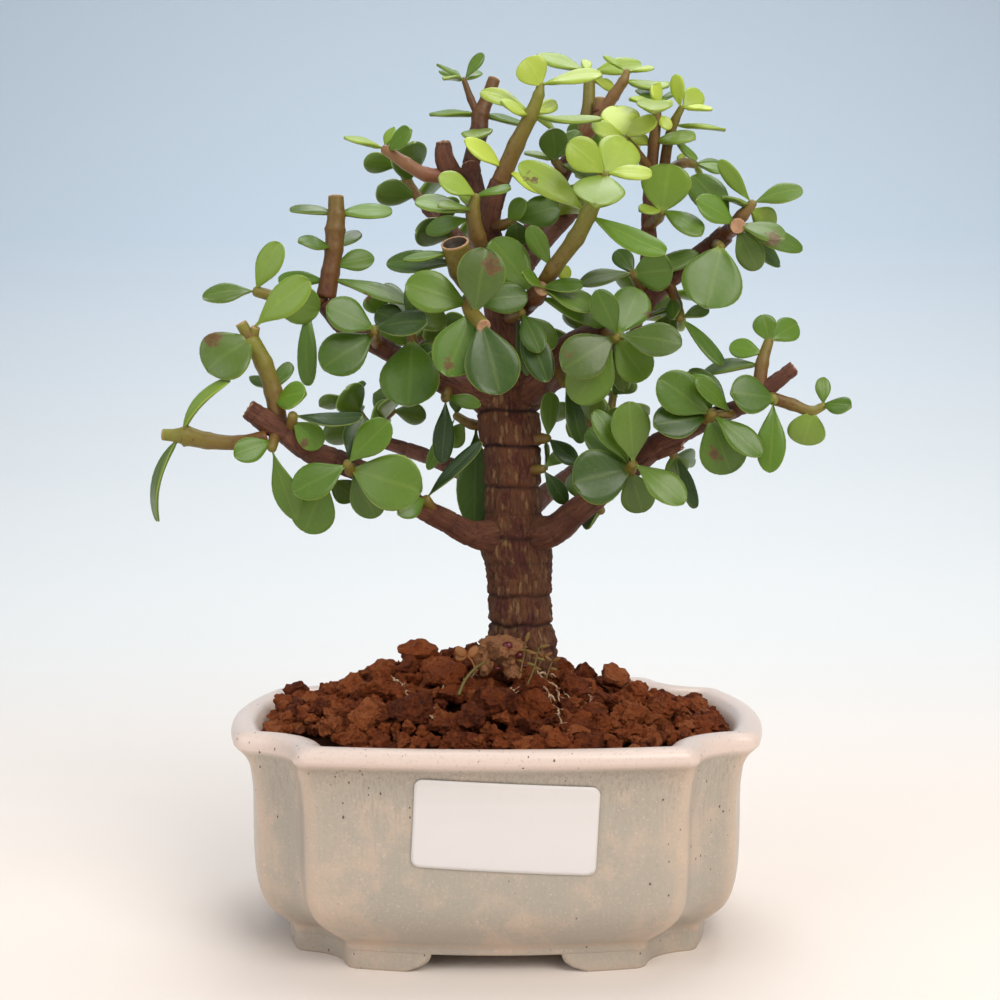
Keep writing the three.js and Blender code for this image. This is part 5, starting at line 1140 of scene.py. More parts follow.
def pot_outline(inset, notch):
    """The pot's outline at one level, anticlockwise, as [x, y, ridge]: ridge is 1 on a corner ridge.
    The notches are shallower from front to back low on the pot."""
    press = 1 - NOTCH_PRESS * inset
    a, b, bow = POT_A - inset, (POT_B - inset) / press, BOW_B / press
    reach = math.sqrt((notch + RIDGE_R) ** 2 - RIDGE_R ** 2)
    face_x, face_y = a - reach, b - reach
    tilt = math.atan2(RIDGE_R, reach)
    quarter = []
    n = OUTLINE_POINTS
    for i in range(n["face"]):
        t = i / n["face"]
        quarter.append((a + BOW_A * (1 - t * t), face_y * t, 0.3 * t ** 8))
    for i in range(n["ridge"]):
        s = i / n["ridge"]
        turn = s * (math.pi / 2 - tilt)
        quarter.append((a - RIDGE_R + RIDGE_R * math.cos(turn), face_y + RIDGE_R * math.sin(turn),
                        0.3 + 0.7 * math.sin(math.pi * s)))
    for i in range(n["notch"] + 1):
        s = i / n["notch"]
        turn = -math.pi / 2 - tilt - s * (math.pi / 2 - 2 * tilt)
        quarter.append((a + notch * math.cos(turn), b + notch * math.sin(turn),
                        0.3 * abs(2 * s - 1) ** 6))
    for i in range(1, n["ridge"] + 1):
        s = i / n["ridge"]
        turn = tilt + s * (math.pi / 2 - tilt)
        quarter.append((face_x + RIDGE_R * math.cos(turn), b - RIDGE_R + RIDGE_R * math.sin(turn),
                        0.3 + 0.7 * math.sin(math.pi * s)))
    for i in range(1, n["front"]):
        t = 1 - i / n["front"]
        quarter.append((face_x * t, b + bow * (1 - t * t), 0.3 * t ** 8))
    half = quarter + [(0, b + bow, 0)] + [(-x, y, r) for x, y, r in quarter[:0:-1]]
    whole = half + [(-(a + BOW_A), 0, 0)] + [(x, -y, r) for x, y, r in half[:0:-1]]
    return [(x, y * press, r) for x, y, r in whole]


def satin_glaze(settings):
    """Stoneware glaze, dipped and fired: a glassy coat that runs in grey streaks under the rim, breaks
    peach over the ridges, and lets pinholes and iron specks through, so it is satin and mottled."""
    material, node, where = new_material("satin_stoneware_glaze")
    glaze = node("Attribute", {"attribute_name": "glaze"})
    about = node("SeparateColor", Color=glaze)
    ridge, height, lip = about.outputs[0], about.outputs[1], about.outputs[2]
    cloud = node("TexNoise", Vector=where, Scale=1 / (15 * MM), Detail=5.0, Roughness=0.65)
    blush = node("MapRange", SMOOTH, Value=cloud, From_Min=0.45, From_Max=0.68, To_Max=0.6)
    colour = node("Mix", BLEND, Factor=blush, A=settings.wall, B=settings.edge)
    # Runs of thick glaze hang 10 mm down from the rim.
    drawn = node("Mapping", Vector=where, Scale=(1, 1, 1 / 9))
    streak = node("TexNoise", Vector=drawn, Scale=1 / settings.streak_width, Detail=4.0, Roughness=0.6)
    run = node("MapRange", SMOOTH, Value=streak, From_Min=0.44, From_Max=0.66)
    hang = node("Math", MULTIPLY_ADD, cloud, 0.35, height)
    hang = node("MapRange", SMOOTH, Value=hang, From_Min=0.84, From_Max=1.15, To_Min=0.12, To_Max=0.65)
    pooled = node("Math", MULTIPLY, hang, run)
    colour = node("Mix", BLEND, Factor=pooled, A=colour, B=settings.pool)
    # Peach where the glaze breaks thin over the ridges; the ridge share also holds the painted highlight
    # along the plinth.
    thin = node("Math", MULTIPLY_ADD, cloud, 0.6, 0.35)
    thin = node("Math", MULTIPLY_CLAMPED, thin, ridge)
    colour = node("Mix", BLEND, Factor=thin, A=colour, B=settings.edge)
    colour = node("Mix", BLEND, Factor=lip, A=colour, B=settings.lip)
    # Pinholes and peppering of 0.4 mm, pale and dark.
    fine = node("TexNoise", Vector=where, Scale=1 / (0.8 * MM), Detail=3.0, Roughness=0.7)
    pale = node("MapRange", SMOOTH, Value=fine, From_Min=0.58, From_Max=0.72, To_Max=0.5)
    colour = node("Mix", BLEND, Factor=pale, A=colour, B=settings.lip)
    grey = node("MapRange", SMOOTH, Value=fine, From_Min=0.43, From_Max=0.3, To_Max=0.35)
    colour = node("Mix", BLEND, Factor=grey, A=colour, B=settings.pool)
    # Iron specks, in the cells that the painted density picks, longer down the wall than across.
    long = node("Mapping", Vector=where, Scale=(1, 1, 0.65))
    speck = node("TexVoronoi", Vector=long, Scale=1 / settings.speck_size)
    pick = node("SeparateColor", Color=speck.outputs["Color"])
    chosen = node("Math", LESS_THAN, pick, glaze.outputs["Alpha"])
    size = node("Math", MULTIPLY_ADD, pick.outputs[1], 0.14, 0.06)
    ragged = node("Math", MULTIPLY_ADD, fine, 0.25, speck)
    ragged = node("Math", SUBTRACT, ragged, 0.12)
    dot = node("Math", LESS_THAN, ragged, size)
    dot = node("Math", MULTIPLY, node("Math", MULTIPLY, dot, chosen), 0.85)
    colour = node("Mix", BLEND, Factor=dot, A=colour, B=settings.speck)
    rough = node("MapRange", Value=fine, From_Min=0.3, From_Max=0.7, To_Min=0.3, To_Max=0.5)
    soft = node("Math", MULTIPLY_ADD, cloud, 3.0, fine)
    bump = node("Bump", Height=soft, Strength=0.4, Distance=0.15 * MM)
    shader = node("BsdfPrincipled", Base_Color=colour, Roughness=rough, Normal=bump, IOR=1.5,
                  Coat_Weight=0.3, Coat_Roughness=0.18)
    node("OutputMaterial", Surface=shader)
    return material


# Where iron specks crowd the glaze: x, y, z, how far they reach, and how many cells hold one.
SPECKLED = [
    [66, -40, 40, 20, 0.75], [60, -46, 58, 12, 0.6], [-56, -52, 62, 12, 0.85], [-74, -34, 64, 12, 0.6],
    [-38, -59, 62, 14, 0.6], [0, -62, 63, 30, 0.3], [60, 46, 30, 30, 0.4], [-70, 20, 60, 30, 0.4]
]
SPECKS_ELSEWHERE = 0.05


def speck_density(points):
    at = np.asarray(points, float)
    share = np.full(len(at), SPECKS_ELSEWHERE)
    for x, y, z, reach, most in SPECKLED:
        gap = np.linalg.norm(at - [x, y, z], axis=1)
        share = np.maximum(share, most * np.exp(-(gap / reach) ** 2))
    return share


def pot_foot(sign_x, sign_y, start):
    """One L-shaped corner foot under the plinth: its outer wall follows the pot's outline."""
    outline = np.array(pot_outline(FOOT_INSET, FOOT_NOTCH))[:, :2]
    inner = np.array(pot_outline(FOOT_INSET + FOOT_WIDTH, FOOT_NOTCH))[:, :2]
    quarter = len(outline) // 4 + 1
    outer, inner = outline[:quarter], inner[:quarter]
    points = []

    def part(line, low_y, low_x, s):
        """A point at a share s of the line between the side gap's edge and the front gap's edge."""
        keep = line[(line[:, 1] > low_y) & (line[:, 0] > low_x)]
        first = np.array([np.interp(low_y, line[:, 1], line[:, 0]), low_y])
        flip = line[::-1]
        last = np.array([low_x, np.interp(low_x, flip[:, 0], flip[:, 1])])
        path = np.vstack([first, keep, last])
        run = np.concatenate([[0], np.cumsum(np.linalg.norm(np.diff(path, axis=0), axis=1))])
        at = s * run[-1]
        return np.array([np.interp(at, run, path[:, 0]), np.interp(at, run, path[:, 1])])

    for z in FOOT_LEVELS:
        ease = 1 - (1 - min(1.0, z / 5.2)) ** 2.4
        gap_x = FOOT_GAP_FRONT[0] + (FOOT_GAP_FRONT[1] - FOOT_GAP_FRONT[0]) * ease
        gap_y = FOOT_GAP_SIDE[0] + (FOOT_GAP_SIDE[1] - FOOT_GAP_SIDE[0]) * ease
        tuck = 0.5 * max(0.0, 1 - z)
        ring = [part(outer, gap_y, gap_x, i / FOOT_STEPS) for i in range(FOOT_STEPS + 1)]
        back = [part(inner, gap_y, gap_x, i / FOOT_STEPS) for i in range(FOOT_STEPS, -1, -1)]
        middle = (np.mean(ring, axis=0) + np.mean(back, axis=0)) / 2
        for p in ring + back:
            p = p + unit(middle - p) * tuck
            points.append((p[0] * sign_x, p[1] * sign_y, z))
    n = 2 * (FOOT_STEPS + 1)
    faces = tube_faces(len(FOOT_LEVELS), n, start, lids=False)
    for i in range(FOOT_STEPS):
        faces.append([start + i, start + n - 1 - i, start + n - 2 - i, start + i + 1])
    if sign_x * sign_y < 0:
        faces = [face[::-1] for face in faces]
    return points, faces


class BONSAI_OT_pot(bpy.types.Operator):
    """Throw the glazed pot: bowed walls, notched corners, flared lip, drain holes and feet"""
    bl_idname = "bonsai.pot"
    bl_label = "Glazed Pot"

    def execute(self, context):
        material = satin_glaze(context.scene.bonsai_pot)
        rows, stations = smooth_path(POT_PROFILE, PROFILE_STEP)
        points, look = [], []
        for (inset, z, notch), station in zip(rows, stations):
            inner = station > LIP_ROW + 3
            lip = 0.8 if inner else clamp(station - LIP_ROW + 2.6)
            # Painted highlight: a pale peach line along the joint of the plinth and the wall, carried in the
            # ridge share.
            thin = math.exp(-((station - PLINTH_ROW) / 0.6) ** 2) * 0.8
            for x, y, ridge in pot_outline(inset, notch):
                points.append((x, y, z))
                look.append((min(1.0, ridge * (0.4 if inner else 1.0) + thin), min(1.0, z / 62), lip))
        faces = tube_faces(len(rows), len(points) // len(rows))
        obj = new_mesh("glazed_pot", points, faces, [material])
        paint(obj, "glaze", np.column_stack([look, speck_density(points)]))
        drills = []
        for x in DRAIN_HOLES:
            bpy.ops.mesh.primitive_cylinder_add(
                vertices=48, radius=DRAIN_R * MM, depth=30 * MM, location=(x * MM, 0, 8 * MM))
            drill = context.object
            cut = obj.modifiers.new("drain", "BOOLEAN")
            cut.operation = "DIFFERENCE"
            cut.object = drill
            drills.append(drill)
        apply_modifiers(obj, context)
        for drill in drills:
            bpy.data.objects.remove(drill)
        foot_points, foot_faces = [], []
        for sign_x, sign_y in ((1, 1), (1, -1), (-1, 1), (-1, -1)):
            p, f = pot_foot(sign_x, sign_y, len(foot_points))
            foot_points += p
            foot_faces += f
        feet = new_mesh("pot_feet", foot_points, foot_faces, [material])
        paint(feet, "glaze", [(0.7 * max(0.0, 1 - z / 1.5), 0.1, 0.0, 0.3) for _, _, z in foot_points])
        seat(obj, "glaze", "pot")
        seat(feet, "glaze", "pot")
        return {"FINISHED"}


LABEL_AT = [2.5, 44.9]
LABEL_TURN = -3
LABEL_CORNER = 2.4
LABEL_THICK = 0.35
LABEL_GLUE = 0.25
# How many squares the label's sheet has, and how far its front rounds off at the edge.
LABEL_COLUMNS = 52
LABEL_ROWS = 26
LABEL_ROUND = 0.6


def satin_paper(settings):
    """Coated label paper, printed blank and stuck on: bright, even and a little glossy."""
    material, node, where = new_material("coated_label_paper")
    fibre = node("TexNoise", Vector=where, Scale=1 / (0.6 * MM), Detail=4.0)
    cloud = node("TexNoise", Vector=where, Scale=1 / (14 * MM), Detail=3.0)
    tone = node("MapRange", Value=cloud, From_Min=0.3, From_Max=0.7, To_Max=0.25)
    shade = node("Mix", BLEND, Factor=tone, A=settings.paper, B=linear("#d9d5d2"))
    rough = node("MapRange", Value=fibre, To_Min=0.35, To_Max=0.55)
    bump = node("Bump", Height=fibre, Strength=0.25, Distance=0.05 * MM)
    shader = node("BsdfPrincipled", Base_Color=shade, Roughness=rough, Normal=bump, IOR=1.5,
                  Coat_Weight=0.15, Coat_Roughness=0.3)
    node("OutputMaterial", Surface=shader)
    return material


def wall_front(x, z):
    """How far forward (as y) the pot's front wall stands at x and z."""
    rows = np.array(POT_PROFILE, float)[:LIP_ROW]
    inset = np.interp(z, rows[:, 1], rows[:, 0])
    notch = np.interp(z, rows[:, 1], rows[:, 2])
    face = POT_A - inset - math.sqrt((notch + RIDGE_R) ** 2 - RIDGE_R ** 2)
    t = min(1.0, abs(x) / face)
    return -(POT_B - inset + BOW_B * (1 - t * t))


class BONSAI_OT_label(bpy.types.Operator):
    """Stick the blank paper label on the pot's front wall"""
    bl_idname = "bonsai.label"
    bl_label = "Blank Label"

    def execute(self, context):
        settings = context.scene.bonsai_label
        wide, high = settings.width / MM / 2, settings.height / MM / 2
        turn = math.radians(LABEL_TURN)
        columns, rows = LABEL_COLUMNS, LABEL_ROWS
        points = []
        for out in (0.0, LABEL_THICK):
            for j in range(rows + 1):
                for i in range(columns + 1):
                    x, z = (2 * i / columns - 1) * wide, (2 * j / rows - 1) * high
                    # The corners are pulled in on a radius.
                    over_x = max(0.0, abs(x) - wide + LABEL_CORNER)
                    over_z = max(0.0, abs(z) - high + LABEL_CORNER)
                    reach = math.hypot(over_x, over_z)
                    if over_x > 0 and over_z > 0:
                        pull = max(over_x, over_z) / reach
                        x -= math.copysign(over_x * (1 - pull), x)
                        z -= math.copysign(over_z * (1 - pull), z)
                    u = LABEL_AT[0] + x * math.cos(turn) - z * math.sin(turn)
                    v = LABEL_AT[1] + x * math.sin(turn) + z * math.cos(turn)
                    near_edge = max(abs(x) - wide + LABEL_ROUND, abs(z) - high + LABEL_ROUND, 0.0)
                    lift = LABEL_GLUE + out - (0.18 * near_edge if out else 0.0)
                    points.append((u, wall_front(u, v) - lift, v))
        faces = []
        n = columns + 1
        sheet = n * (rows + 1)
        for j in range(rows):
            for i in range(columns):
                a = j * n + i
                faces.append([a, a + n, a + n + 1, a + 1])
                faces.append([sheet + a, sheet + a + 1, sheet + a + n + 1, sheet + a + n])
        rim = list(range(n)) + [j * n + columns for j in range(1, rows + 1)]
        rim += [rows * n + i for i in range(columns - 1, -1, -1)] + [j * n for j in range(rows - 1, 0, -1)]
        for k, a in enumerate(rim):
            b = rim[(k + 1) % len(rim)]
            faces.append([a, b, sheet + b, sheet + a])
        seat(new_mesh("blank_label", points, faces, [satin_paper(settings)]), "sticker", "label")
        return {"FINISHED"}


# The soil. The bed lies at this height by the wall and mounds up towards the trunk.
SOIL_LOW = 60.5
SOIL_MOUND = 21
MOUND_AT = [-6, 2]
MOUND_WIDE = [36, 30]
SOIL_INSET = 10.6
SOIL_NOTCH = 19.4
# The bed under the grains: rings from the wall in, how far under the grains' middles it lies, how
# deep it reaches, and the radius of its corner notches.
BED_RINGS = 26
BED_UNDER = 2.6
BED_FLOOR = 40.0
BED_NOTCH = 19.9
# How grains are dropped: tries in all, the share of them that lays the full layer, how close two may
# lie as a share of their widths, and the widest that may lie on top and how close those may lie.
GRAIN_TRIES = 30000
LAYER_SHARE = 0.3
GRAIN_APART = 0.37
TOP_GRAIN = 6
TOP_APART = 0.3
GRAIN_FIELD = [70, 54]
# Grains in front of this depth and wider than this have finer pits, up to so many of them.
NEAR_DEPTH = -4
NEAR_WIDTH = 5.6
NEAR_MOST = 150
# Grains keep clear of the trunk below this height.
TRUNK_FOOT = 95
# Grains that stand out: where they are seen, as u and v, and their width.
SINGLE_GRAINS = [
    [-25, 84, 10], [-28, 79, 8.5], [-35, 78, 7.5], [-17, 76, 10.5], [-46, 73, 8], [-37, 72, 9],
    [-27, 66, 11], [-41, 64, 9], [1, 68, 12.5], [-13, 70, 8], [13, 67, 9], [27, 77, 9], [24, 72, 9.5],
    [36, 76, 8], [33, 69, 8.5], [44, 70, 9], [31, 64, 8], [-8, 62, 8], [-17, 61, 7], [42, 63, 8],
    [52, 66, 9], [-55, 66, 8], [-52, 61, 7], [8, 76, 7.5]
]
# The dry lump at the foot of the trunk: parts of it as u, v, depth, width, height.
DRY_LUMP = [
    [0.5, 86, -21, 11, 6.5], [-3.2, 84.5, -21, 7, 6.5], [-3, 80.5, -23, 4.2, 6], [3.4, 82, -22, 6, 7],
    [5.2, 79, -23, 4.5, 5]
]
RED_SEEDS = [[3.4, 86.6, -26, 2.7], [7, 83.6, -24, 2.1], [0.2, 79.4, -26, 1.3], [8.6, 80.2, -22, 1.5]]
# Fine dry roots on the soil, as the [u, v] points they are seen at.
DRY_ROOTS = [
    [[11.5, 80.4], [13.6, 77.5], [16, 75.4], [18.6, 73.4], [19.6, 70.4], [20.4, 69]], [[14.8, 73.6],
    [16, 71], [17.6, 67.8], [19.4, 64.6], [20.8, 62]], [[19, 73.2], [20.6, 73], [22.4, 70.6]], [[16, 71],
    [17.8, 70.6], [18.6, 69.2]], [[13.6, 77.5], [16.6, 77.9], [18.4, 76.6]], [[-32.4, 76.4], [-30.4, 74.8],
    [-28.2, 71]], [[-22.6, 69.4], [-21, 66.6], [-20.2, 63.2]], [[28.2, 73.8], [29, 70], [29.6, 65]],
    [[4.6, 73.4], [5.5, 70.6]], [[-6, 79], [-9, 76.4], [-14, 75.4], [-18, 72]]
]
ROOT_R = 0.34
ROOT_LIFT = 4.4
# Seedlings: a stem as [u, v, depth] points, how green it is, and its leaves as [u, v, length, width].
SEEDLINGS = [
    [[[-12, 71, -36], [-10, 75.6, -33], [-6.6, 79.6, -30], [-3.4, 81.5, -27]], 0.5, 0.75, []],
    [[[-6.5, 78, -30], [-7.6, 81.4, -30], [-9.4, 83.6, -30]], 0.35, 0.2, [[-13.4, 86, 4.2, 2.9],
    [-6.2, 86, 4.4, 2.8], [-12.6, 82.6, 3.6, 2.4]]], [[[9.5, 74, -27], [11.5, 79, -26], [12.6, 83.4, -25],
    [13.2, 86, -25]], 0.3, 0.7, [[15.6, 86.6, 3.4, 1.1], [10.8, 84.4, 3, 1], [15, 82, 2.8, 1],
    [10, 81, 2.6, 1], [14, 79, 2.6, 1]]], [[[7.4, 78, -25], [8.4, 83, -24], [9, 87.4, -24]], 0.3, 0.6,
    [[9.8, 90, 3.6, 1.2], [6.8, 85.4, 2.8, 1], [11, 84.6, 2.8, 1.1], [7, 82, 2.4, 1]]], [[[15.4, 76, -25],
    [16.6, 79.6, -25], [17.4, 81.6, -25]], 0.3, 0.5, [[19.4, 82.6, 3, 1.1], [15.6, 83, 2.8, 1],
    [18.6, 79, 2.6, 1]]], [[[12, 78, -24], [13.6, 81, -23], [14.6, 83, -22]], 0.3, 0.4, [[16.6, 84, 3, 1.1],
    [13, 84.6, 2.8, 1]]]
]


def mound_z(x, y):
    """The height of the bed of soil, in millimetres."""
    dx = (x - MOUND_AT[0]) / MOUND_WIDE[0]
    dy = (y - MOUND_AT[1]) / MOUND_WIDE[1]
    return SOIL_LOW + SOIL_MOUND * math.exp(-(dx * dx + dy * dy) / 2)


def on_soil(u, v, lift):
    """The point in sight at u and v that lies so far above the bed of soil."""
    for step in range(160):
        p = place(u, v, -60 + step * 0.5)
        if p[2] < mound_z(p[0], p[1]) + lift:
            return p
    return place(u, v, 0)


def baked_clay(settings):
    """Baked clay granules, crushed and sieved: rough, dusty and matt, red-brown where dry, each grain a
    tone of its own, with painted shade nearly black in the gaps and pits and a painted highlight of pale
    dust on the high points."""
    material, node, where = new_material("baked_clay_granules")
    about = node("SeparateColor", Color=node("Attribute", {"attribute_name": "grain"}))
    tone, dry, sunk = about.outputs[0], about.outputs[1], about.outputs[2]
    pores = node("TexNoise", Vector=where, Scale=1 / (1.3 * MM), Detail=8.0, Roughness=0.8)
    patch = node("TexNoise", Vector=where, Scale=1 / (4.0 * MM), Detail=4.0, Roughness=0.6)
    mix = node("Math", ADD_CLAMPED, node("Math", MULTIPLY_ADD, patch, 0.9, -0.45), tone)
    lower = node("MapRange", Value=mix, From_Max=0.5)
    upper = node("MapRange", Value=mix, From_Min=0.5)
    colour = node("Mix", BLEND, Factor=lower, A=settings.dark_grain, B=settings.grain)
    colour = node("Mix", BLEND, Factor=upper, A=colour, B=settings.pale_grain)
    colour = node("Mix", BLEND, Factor=dry, A=colour, B=linear("#b9835a"))
    # Pale dust on the high points of the pores, which also serves as a painted highlight there.
    dust_and_highlight = node("MapRange", SMOOTH, Value=pores, From_Min=0.53, From_Max=0.7, To_Max=0.5)
    colour = node("Mix", BLEND, Factor=dust_and_highlight, A=colour, B=linear("#a4693f"))
    # Painted shade: the pits of the pores, the sunk parts of the grains and the bed are painted nearly black.
    dark = node("MapRange", SMOOTH, Value=pores, From_Min=0.48, From_Max=0.36, To_Max=0.8)
    dark = node("Math", MAXIMUM, dark, sunk)
    colour = node("Mix", BLEND, Factor=dark, A=colour, B=linear("#1f0e0a"))
    rough = node("MapRange", Value=pores, To_Min=0.95, To_Max=0.7)
    bump = node("Bump", Height=pores, Strength=1.0, Distance=2.2 * MM)
    shader = node("BsdfPrincipled", Base_Color=colour, Roughness=rough, Normal=bump, IOR=1.45,
                  Specular_IOR_Level=0.25)
    node("OutputMaterial", Surface=shader)
    return material


def inside_wall(x, y, margin):
    """Whether a point lies inside the pot's inner wall by at least the margin."""
    a, b, notch = POT_A - SOIL_INSET - margin, POT_B - SOIL_INSET - margin, SOIL_NOTCH + margin
    ax, ay = abs(x), abs(y)
    if ax > a + BOW_A * (1 - (ay / b) ** 2) or ay > b + BOW_B * (1 - (ax / a) ** 2):
        return False
    return math.hypot(ax - a, ay - b) > notch


def ball(subdivisions):
    """The points and faces of a ball of radius 1."""
    lump = bmesh.new()
    bmesh.ops.create_icosphere(lump, subdivisions=subdivisions, radius=1)
    points = np.array([v.co[:] for v in lump.verts])
    faces = np.array([[v.index for v in f.verts] for f in lump.faces])
    lump.free()
    return points, faces


def clipped_stone(shape, size, draw):
    """A crushed grain: a lump cut by a few random flats, then pitted."""
    points = shape.copy()
    for _ in range(8):
        way = unit(np.array([draw(-1, 1), draw(-1, 1), draw(-1, 1)]) + 1e-6)
        over = points @ way - draw(0.46, 0.86)
        points -= np.outer(np.maximum(over, 0), way)
    points *= np.array([draw(0.85, 1.2), draw(0.85, 1.2), draw(0.7, 1.0)]) * size / 2 / 0.83
    seed = draw(0, 900)
    pits = smooth_noise(points, 3.0, seed) + 0.8 * smooth_noise(points, 1.4, seed + 7)
    pits += 0.8 * smooth_noise(points, 0.8, seed + 13)
    return points * (1 + 2.0 * pits / size)[:, None]


def stacked(lumps, faces):
    """The points and faces of many lumps that share the same faces."""
    count = len(lumps[0])
    return np.vstack(lumps), np.vstack([faces + k * count for k in range(len(lumps))]).tolist()


def lay_clay(name, points, faces, look, tones, smooth=True):
    obj = new_mesh(name, points, faces, [look], smooth)
    paint(obj, "grain", tones)
    seat(obj, "clay_granules", "soil")


def lay_bed(look):
    """The bed under the grains, painted nearly black as the shade in their gaps: a sheet that reaches
    down inside the pot's wall.
    """
    outline = np.array(pot_outline(SOIL_INSET + 0.5, BED_NOTCH))[:, :2]
    n = len(outline)
    points = []
    for k in range(BED_RINGS + 1):
        for x, y in outline * (1 - k / BED_RINGS * 0.985):
            points.append((x, y, mound_z(x, y) - BED_UNDER))
    faces = tube_faces(BED_RINGS + 1, n, lids=False)
    faces.append([BED_RINGS * n + i for i in range(n)])
    skirt = len(points)
    points += [(x, y, BED_FLOOR) for x, y in outline]
    # Painted shade: the bed and its skirt are marked sunk, which the material paints nearly black.
    tones = [(0.2, 0.0, 0.7)] * skirt + [(0.2, 0.0, 0.9)] * n
    for i in range(n):
        j = (i + 1) % n
        faces.append([skirt + i, skirt + j, j, i])
    faces.append([skirt + i for i in range(n)][::-1])
    lay_clay("soil_bed", points, faces, look, tones)


def scatter_grains(settings, draw):
    """Where the grains lie, as x, y, z and width. They are dropped at random and kept where they find
    room: first a full layer, and then single grains that lie on top of it."""
    small, large = settings.small / MM, settings.large / MM
    trunk = np.array([(p[0], p[1], r) for p, r in LIMBS[0] if p[2] < TRUNK_FOOT])
    placed = []
    for u, v, size in SINGLE_GRAINS:
        p = on_soil(u, v, size * 0.3)
        placed.append((p[0], p[1], p[2] + size * 0.08, size))
    for attempt in range(GRAIN_TRIES):
        if len(placed) >= settings.grains:
            break
        x, y = (draw(-half, half) for half in GRAIN_FIELD)
        size = small + (large - small) * draw(0, 1) ** 1.1
        if not inside_wall(x, y, size * 0.42):
            continue
        if (np.hypot(x - trunk[:, 0], y - trunk[:, 1]) < trunk[:, 2] + size * 0.3).any():
            continue
        at = np.array(placed)
        gap = np.hypot(x - at[:, 0], y - at[:, 1])
        reach = size + at[:, 3]
        if (gap < GRAIN_APART * reach).any():
            laying = attempt < LAYER_SHARE * GRAIN_TRIES
            if laying or size > TOP_GRAIN or (gap < TOP_APART * reach).any():
                continue
            z = mound_z(x, y) + size * draw(0.3, 0.55)
        else:
            z = mound_z(x, y) - size * draw(-0.08, 0.25)
        placed.append((x, y, z, size))
    return placed


def lay_grains(name, grains, detail, look, draw):
    """One piece of clipped stones, each turned and toned by itself, with painted shade where it is sunk
    into the bed.
    """
    ball_points, ball_faces = ball(detail)
    lumps, tones = [], []
    for x, y, z, size in grains:
        lump = clipped_stone(ball_points, size, draw)
        turn = draw(0, 2 * math.pi)
        c, s = math.cos(turn), math.sin(turn)
        lump = lump @ np.array([[c, s, 0], [-s, c, 0], [0, 0, 1]]) + [x, y, z]
        tone = 0.48 + 0.36 * draw(-1, 1)
        # Painted shade: the parts of a grain that lie below the bed are painted darker.
        sunk = np.clip((mound_z(x, y) - 1.6 - lump[:, 2]) / 4, 0, 0.9)
        lumps.append(lump)
        tones.append(np.column_stack([np.full(len(lump), tone), np.zeros(len(lump)), sunk]))
    lay_clay("clay_grains_" + name, *stacked(lumps, ball_faces), look, np.vstack(tones), smooth=False)


def lay_dry_lump(look, draw):
    shape, ball_faces = ball(5)
    lumps = [clipped_stone(shape, wide, draw) * [1, 0.8, high / wide * 1.2] + place(u, v, depth)
             for u, v, depth, wide, high in DRY_LUMP]
    tones = [(0.9, 0.9, 0.0)] * len(shape) * len(lumps)
    lay_clay("dry_lump", *stacked(lumps, ball_faces), look, tones)


def lay_roots(settings, draw):
    """Fine roots that wander over the grains, with short hairs that stand off every 1.5 mm."""
    points, faces = [], []
    for line in DRY_ROOTS:
        path, _ = smooth_path([on_soil(u, v, ROOT_LIFT) for u, v in line], 0.5)
        wiggle = np.column_stack([smooth_noise(path, 2.0, 20.0 + k) for k in range(3)])
        path = path + wiggle * [1.0, 1.0, 0.9]
        radii = np.linspace(ROOT_R, ROOT_R * 0.5, len(path)) * (1 + 0.4 * smooth_noise(path, 1.2, 5.0))
        sweep(path, radii, 6, points, faces)
        for k in range(2, len(path) - 2, 3):
            hair = np.array([path[k], path[k] + [draw(-1.6, 1.6), draw(-0.8, 0.4), draw(-1.3, 1.5)]])
            sweep(hair, [ROOT_R * 0.5, ROOT_R * 0.25], 4, points, faces)
    seat(new_mesh("dry_roots", points, faces, [dry_root(settings)]), "bark", "wood")


def lay_seedlings(draw):
    """Small seedlings: a thin stem, and leaves like flattened balls that grow from its nearest point."""
    ball_points, ball_faces = ball(2)
    points, faces, greens = [], [], []
    for stem, radius, green, leaves in SEEDLINGS:
        path, _ = smooth_path([place(*p) for p in stem], 0.7)
        sweep(path, np.linspace(radius, radius * 0.7, len(path)), 8, points, faces)
        greens += [(green, 0.0, 0.0)] * (len(points) - len(greens))
        for u, v, length, width in leaves:
            tip = place(u, v, stem[-1][2] + draw(-1.5, 1.5))
            root = path[np.linalg.norm(path - tip, axis=1).argmin()]
            way = unit(tip - root)
            side = unit(np.cross(way, [0.2, -1, 0.3]))
            blade = ball_points * [length / 2, width / 2, 0.35]
            blade = blade @ np.array([way, side, np.cross(way, side)]) + (root + way * length * 0.5)
            faces += (ball_faces + len(points)).tolist()
            points += list(blade)
            greens += [(green * 0.8, 0.0, 0.0)] * len(blade)
    sprouts = new_mesh("seedlings", points, faces, [sprout()])
    paint(sprouts, "sprout", greens)
    seat(sprouts, "leaf", "soil")


class BONSAI_OT_soil(bpy.types.Operator):
    """Fill the pot with mounded clay granules"""
    bl_idname = "bonsai.soil"
    bl_label = "Clay Granules"

    def execute(self, context):
        settings = context.scene.bonsai_soil
        look = baked_clay(settings)
        draw = draws(4711)
        lay_bed(look)
        near, front, back = [], [], []
        for grain in scatter_grains(settings, draw):
            if grain[1] < NEAR_DEPTH and grain[3] > NEAR_WIDTH and len(near) < NEAR_MOST:
                near.append(grain)
            else:
                (front if grain[1] < 0 else back).append(grain)
        for name, grains, detail in (("near", near, 4), ("front", front, 3), ("back", back, 3)):
            lay_grains(name, grains, detail, look, draw)
        lay_dry_lump(look, draw)
        ball_points, ball_faces = ball(2)
        seeds = [ball_points * [1, 0.8, 0.8] * (r * 0.6) + place(u, v, depth) for u, v, depth, r in RED_SEEDS]
        obj = new_mesh("red_seeds", *stacked(seeds, ball_faces), [seed_coat()])
        seat(obj, "clay_granules", "soil")
        lay_roots(settings, draw)
        lay_seedlings(draw)
        return {"FINISHED"}


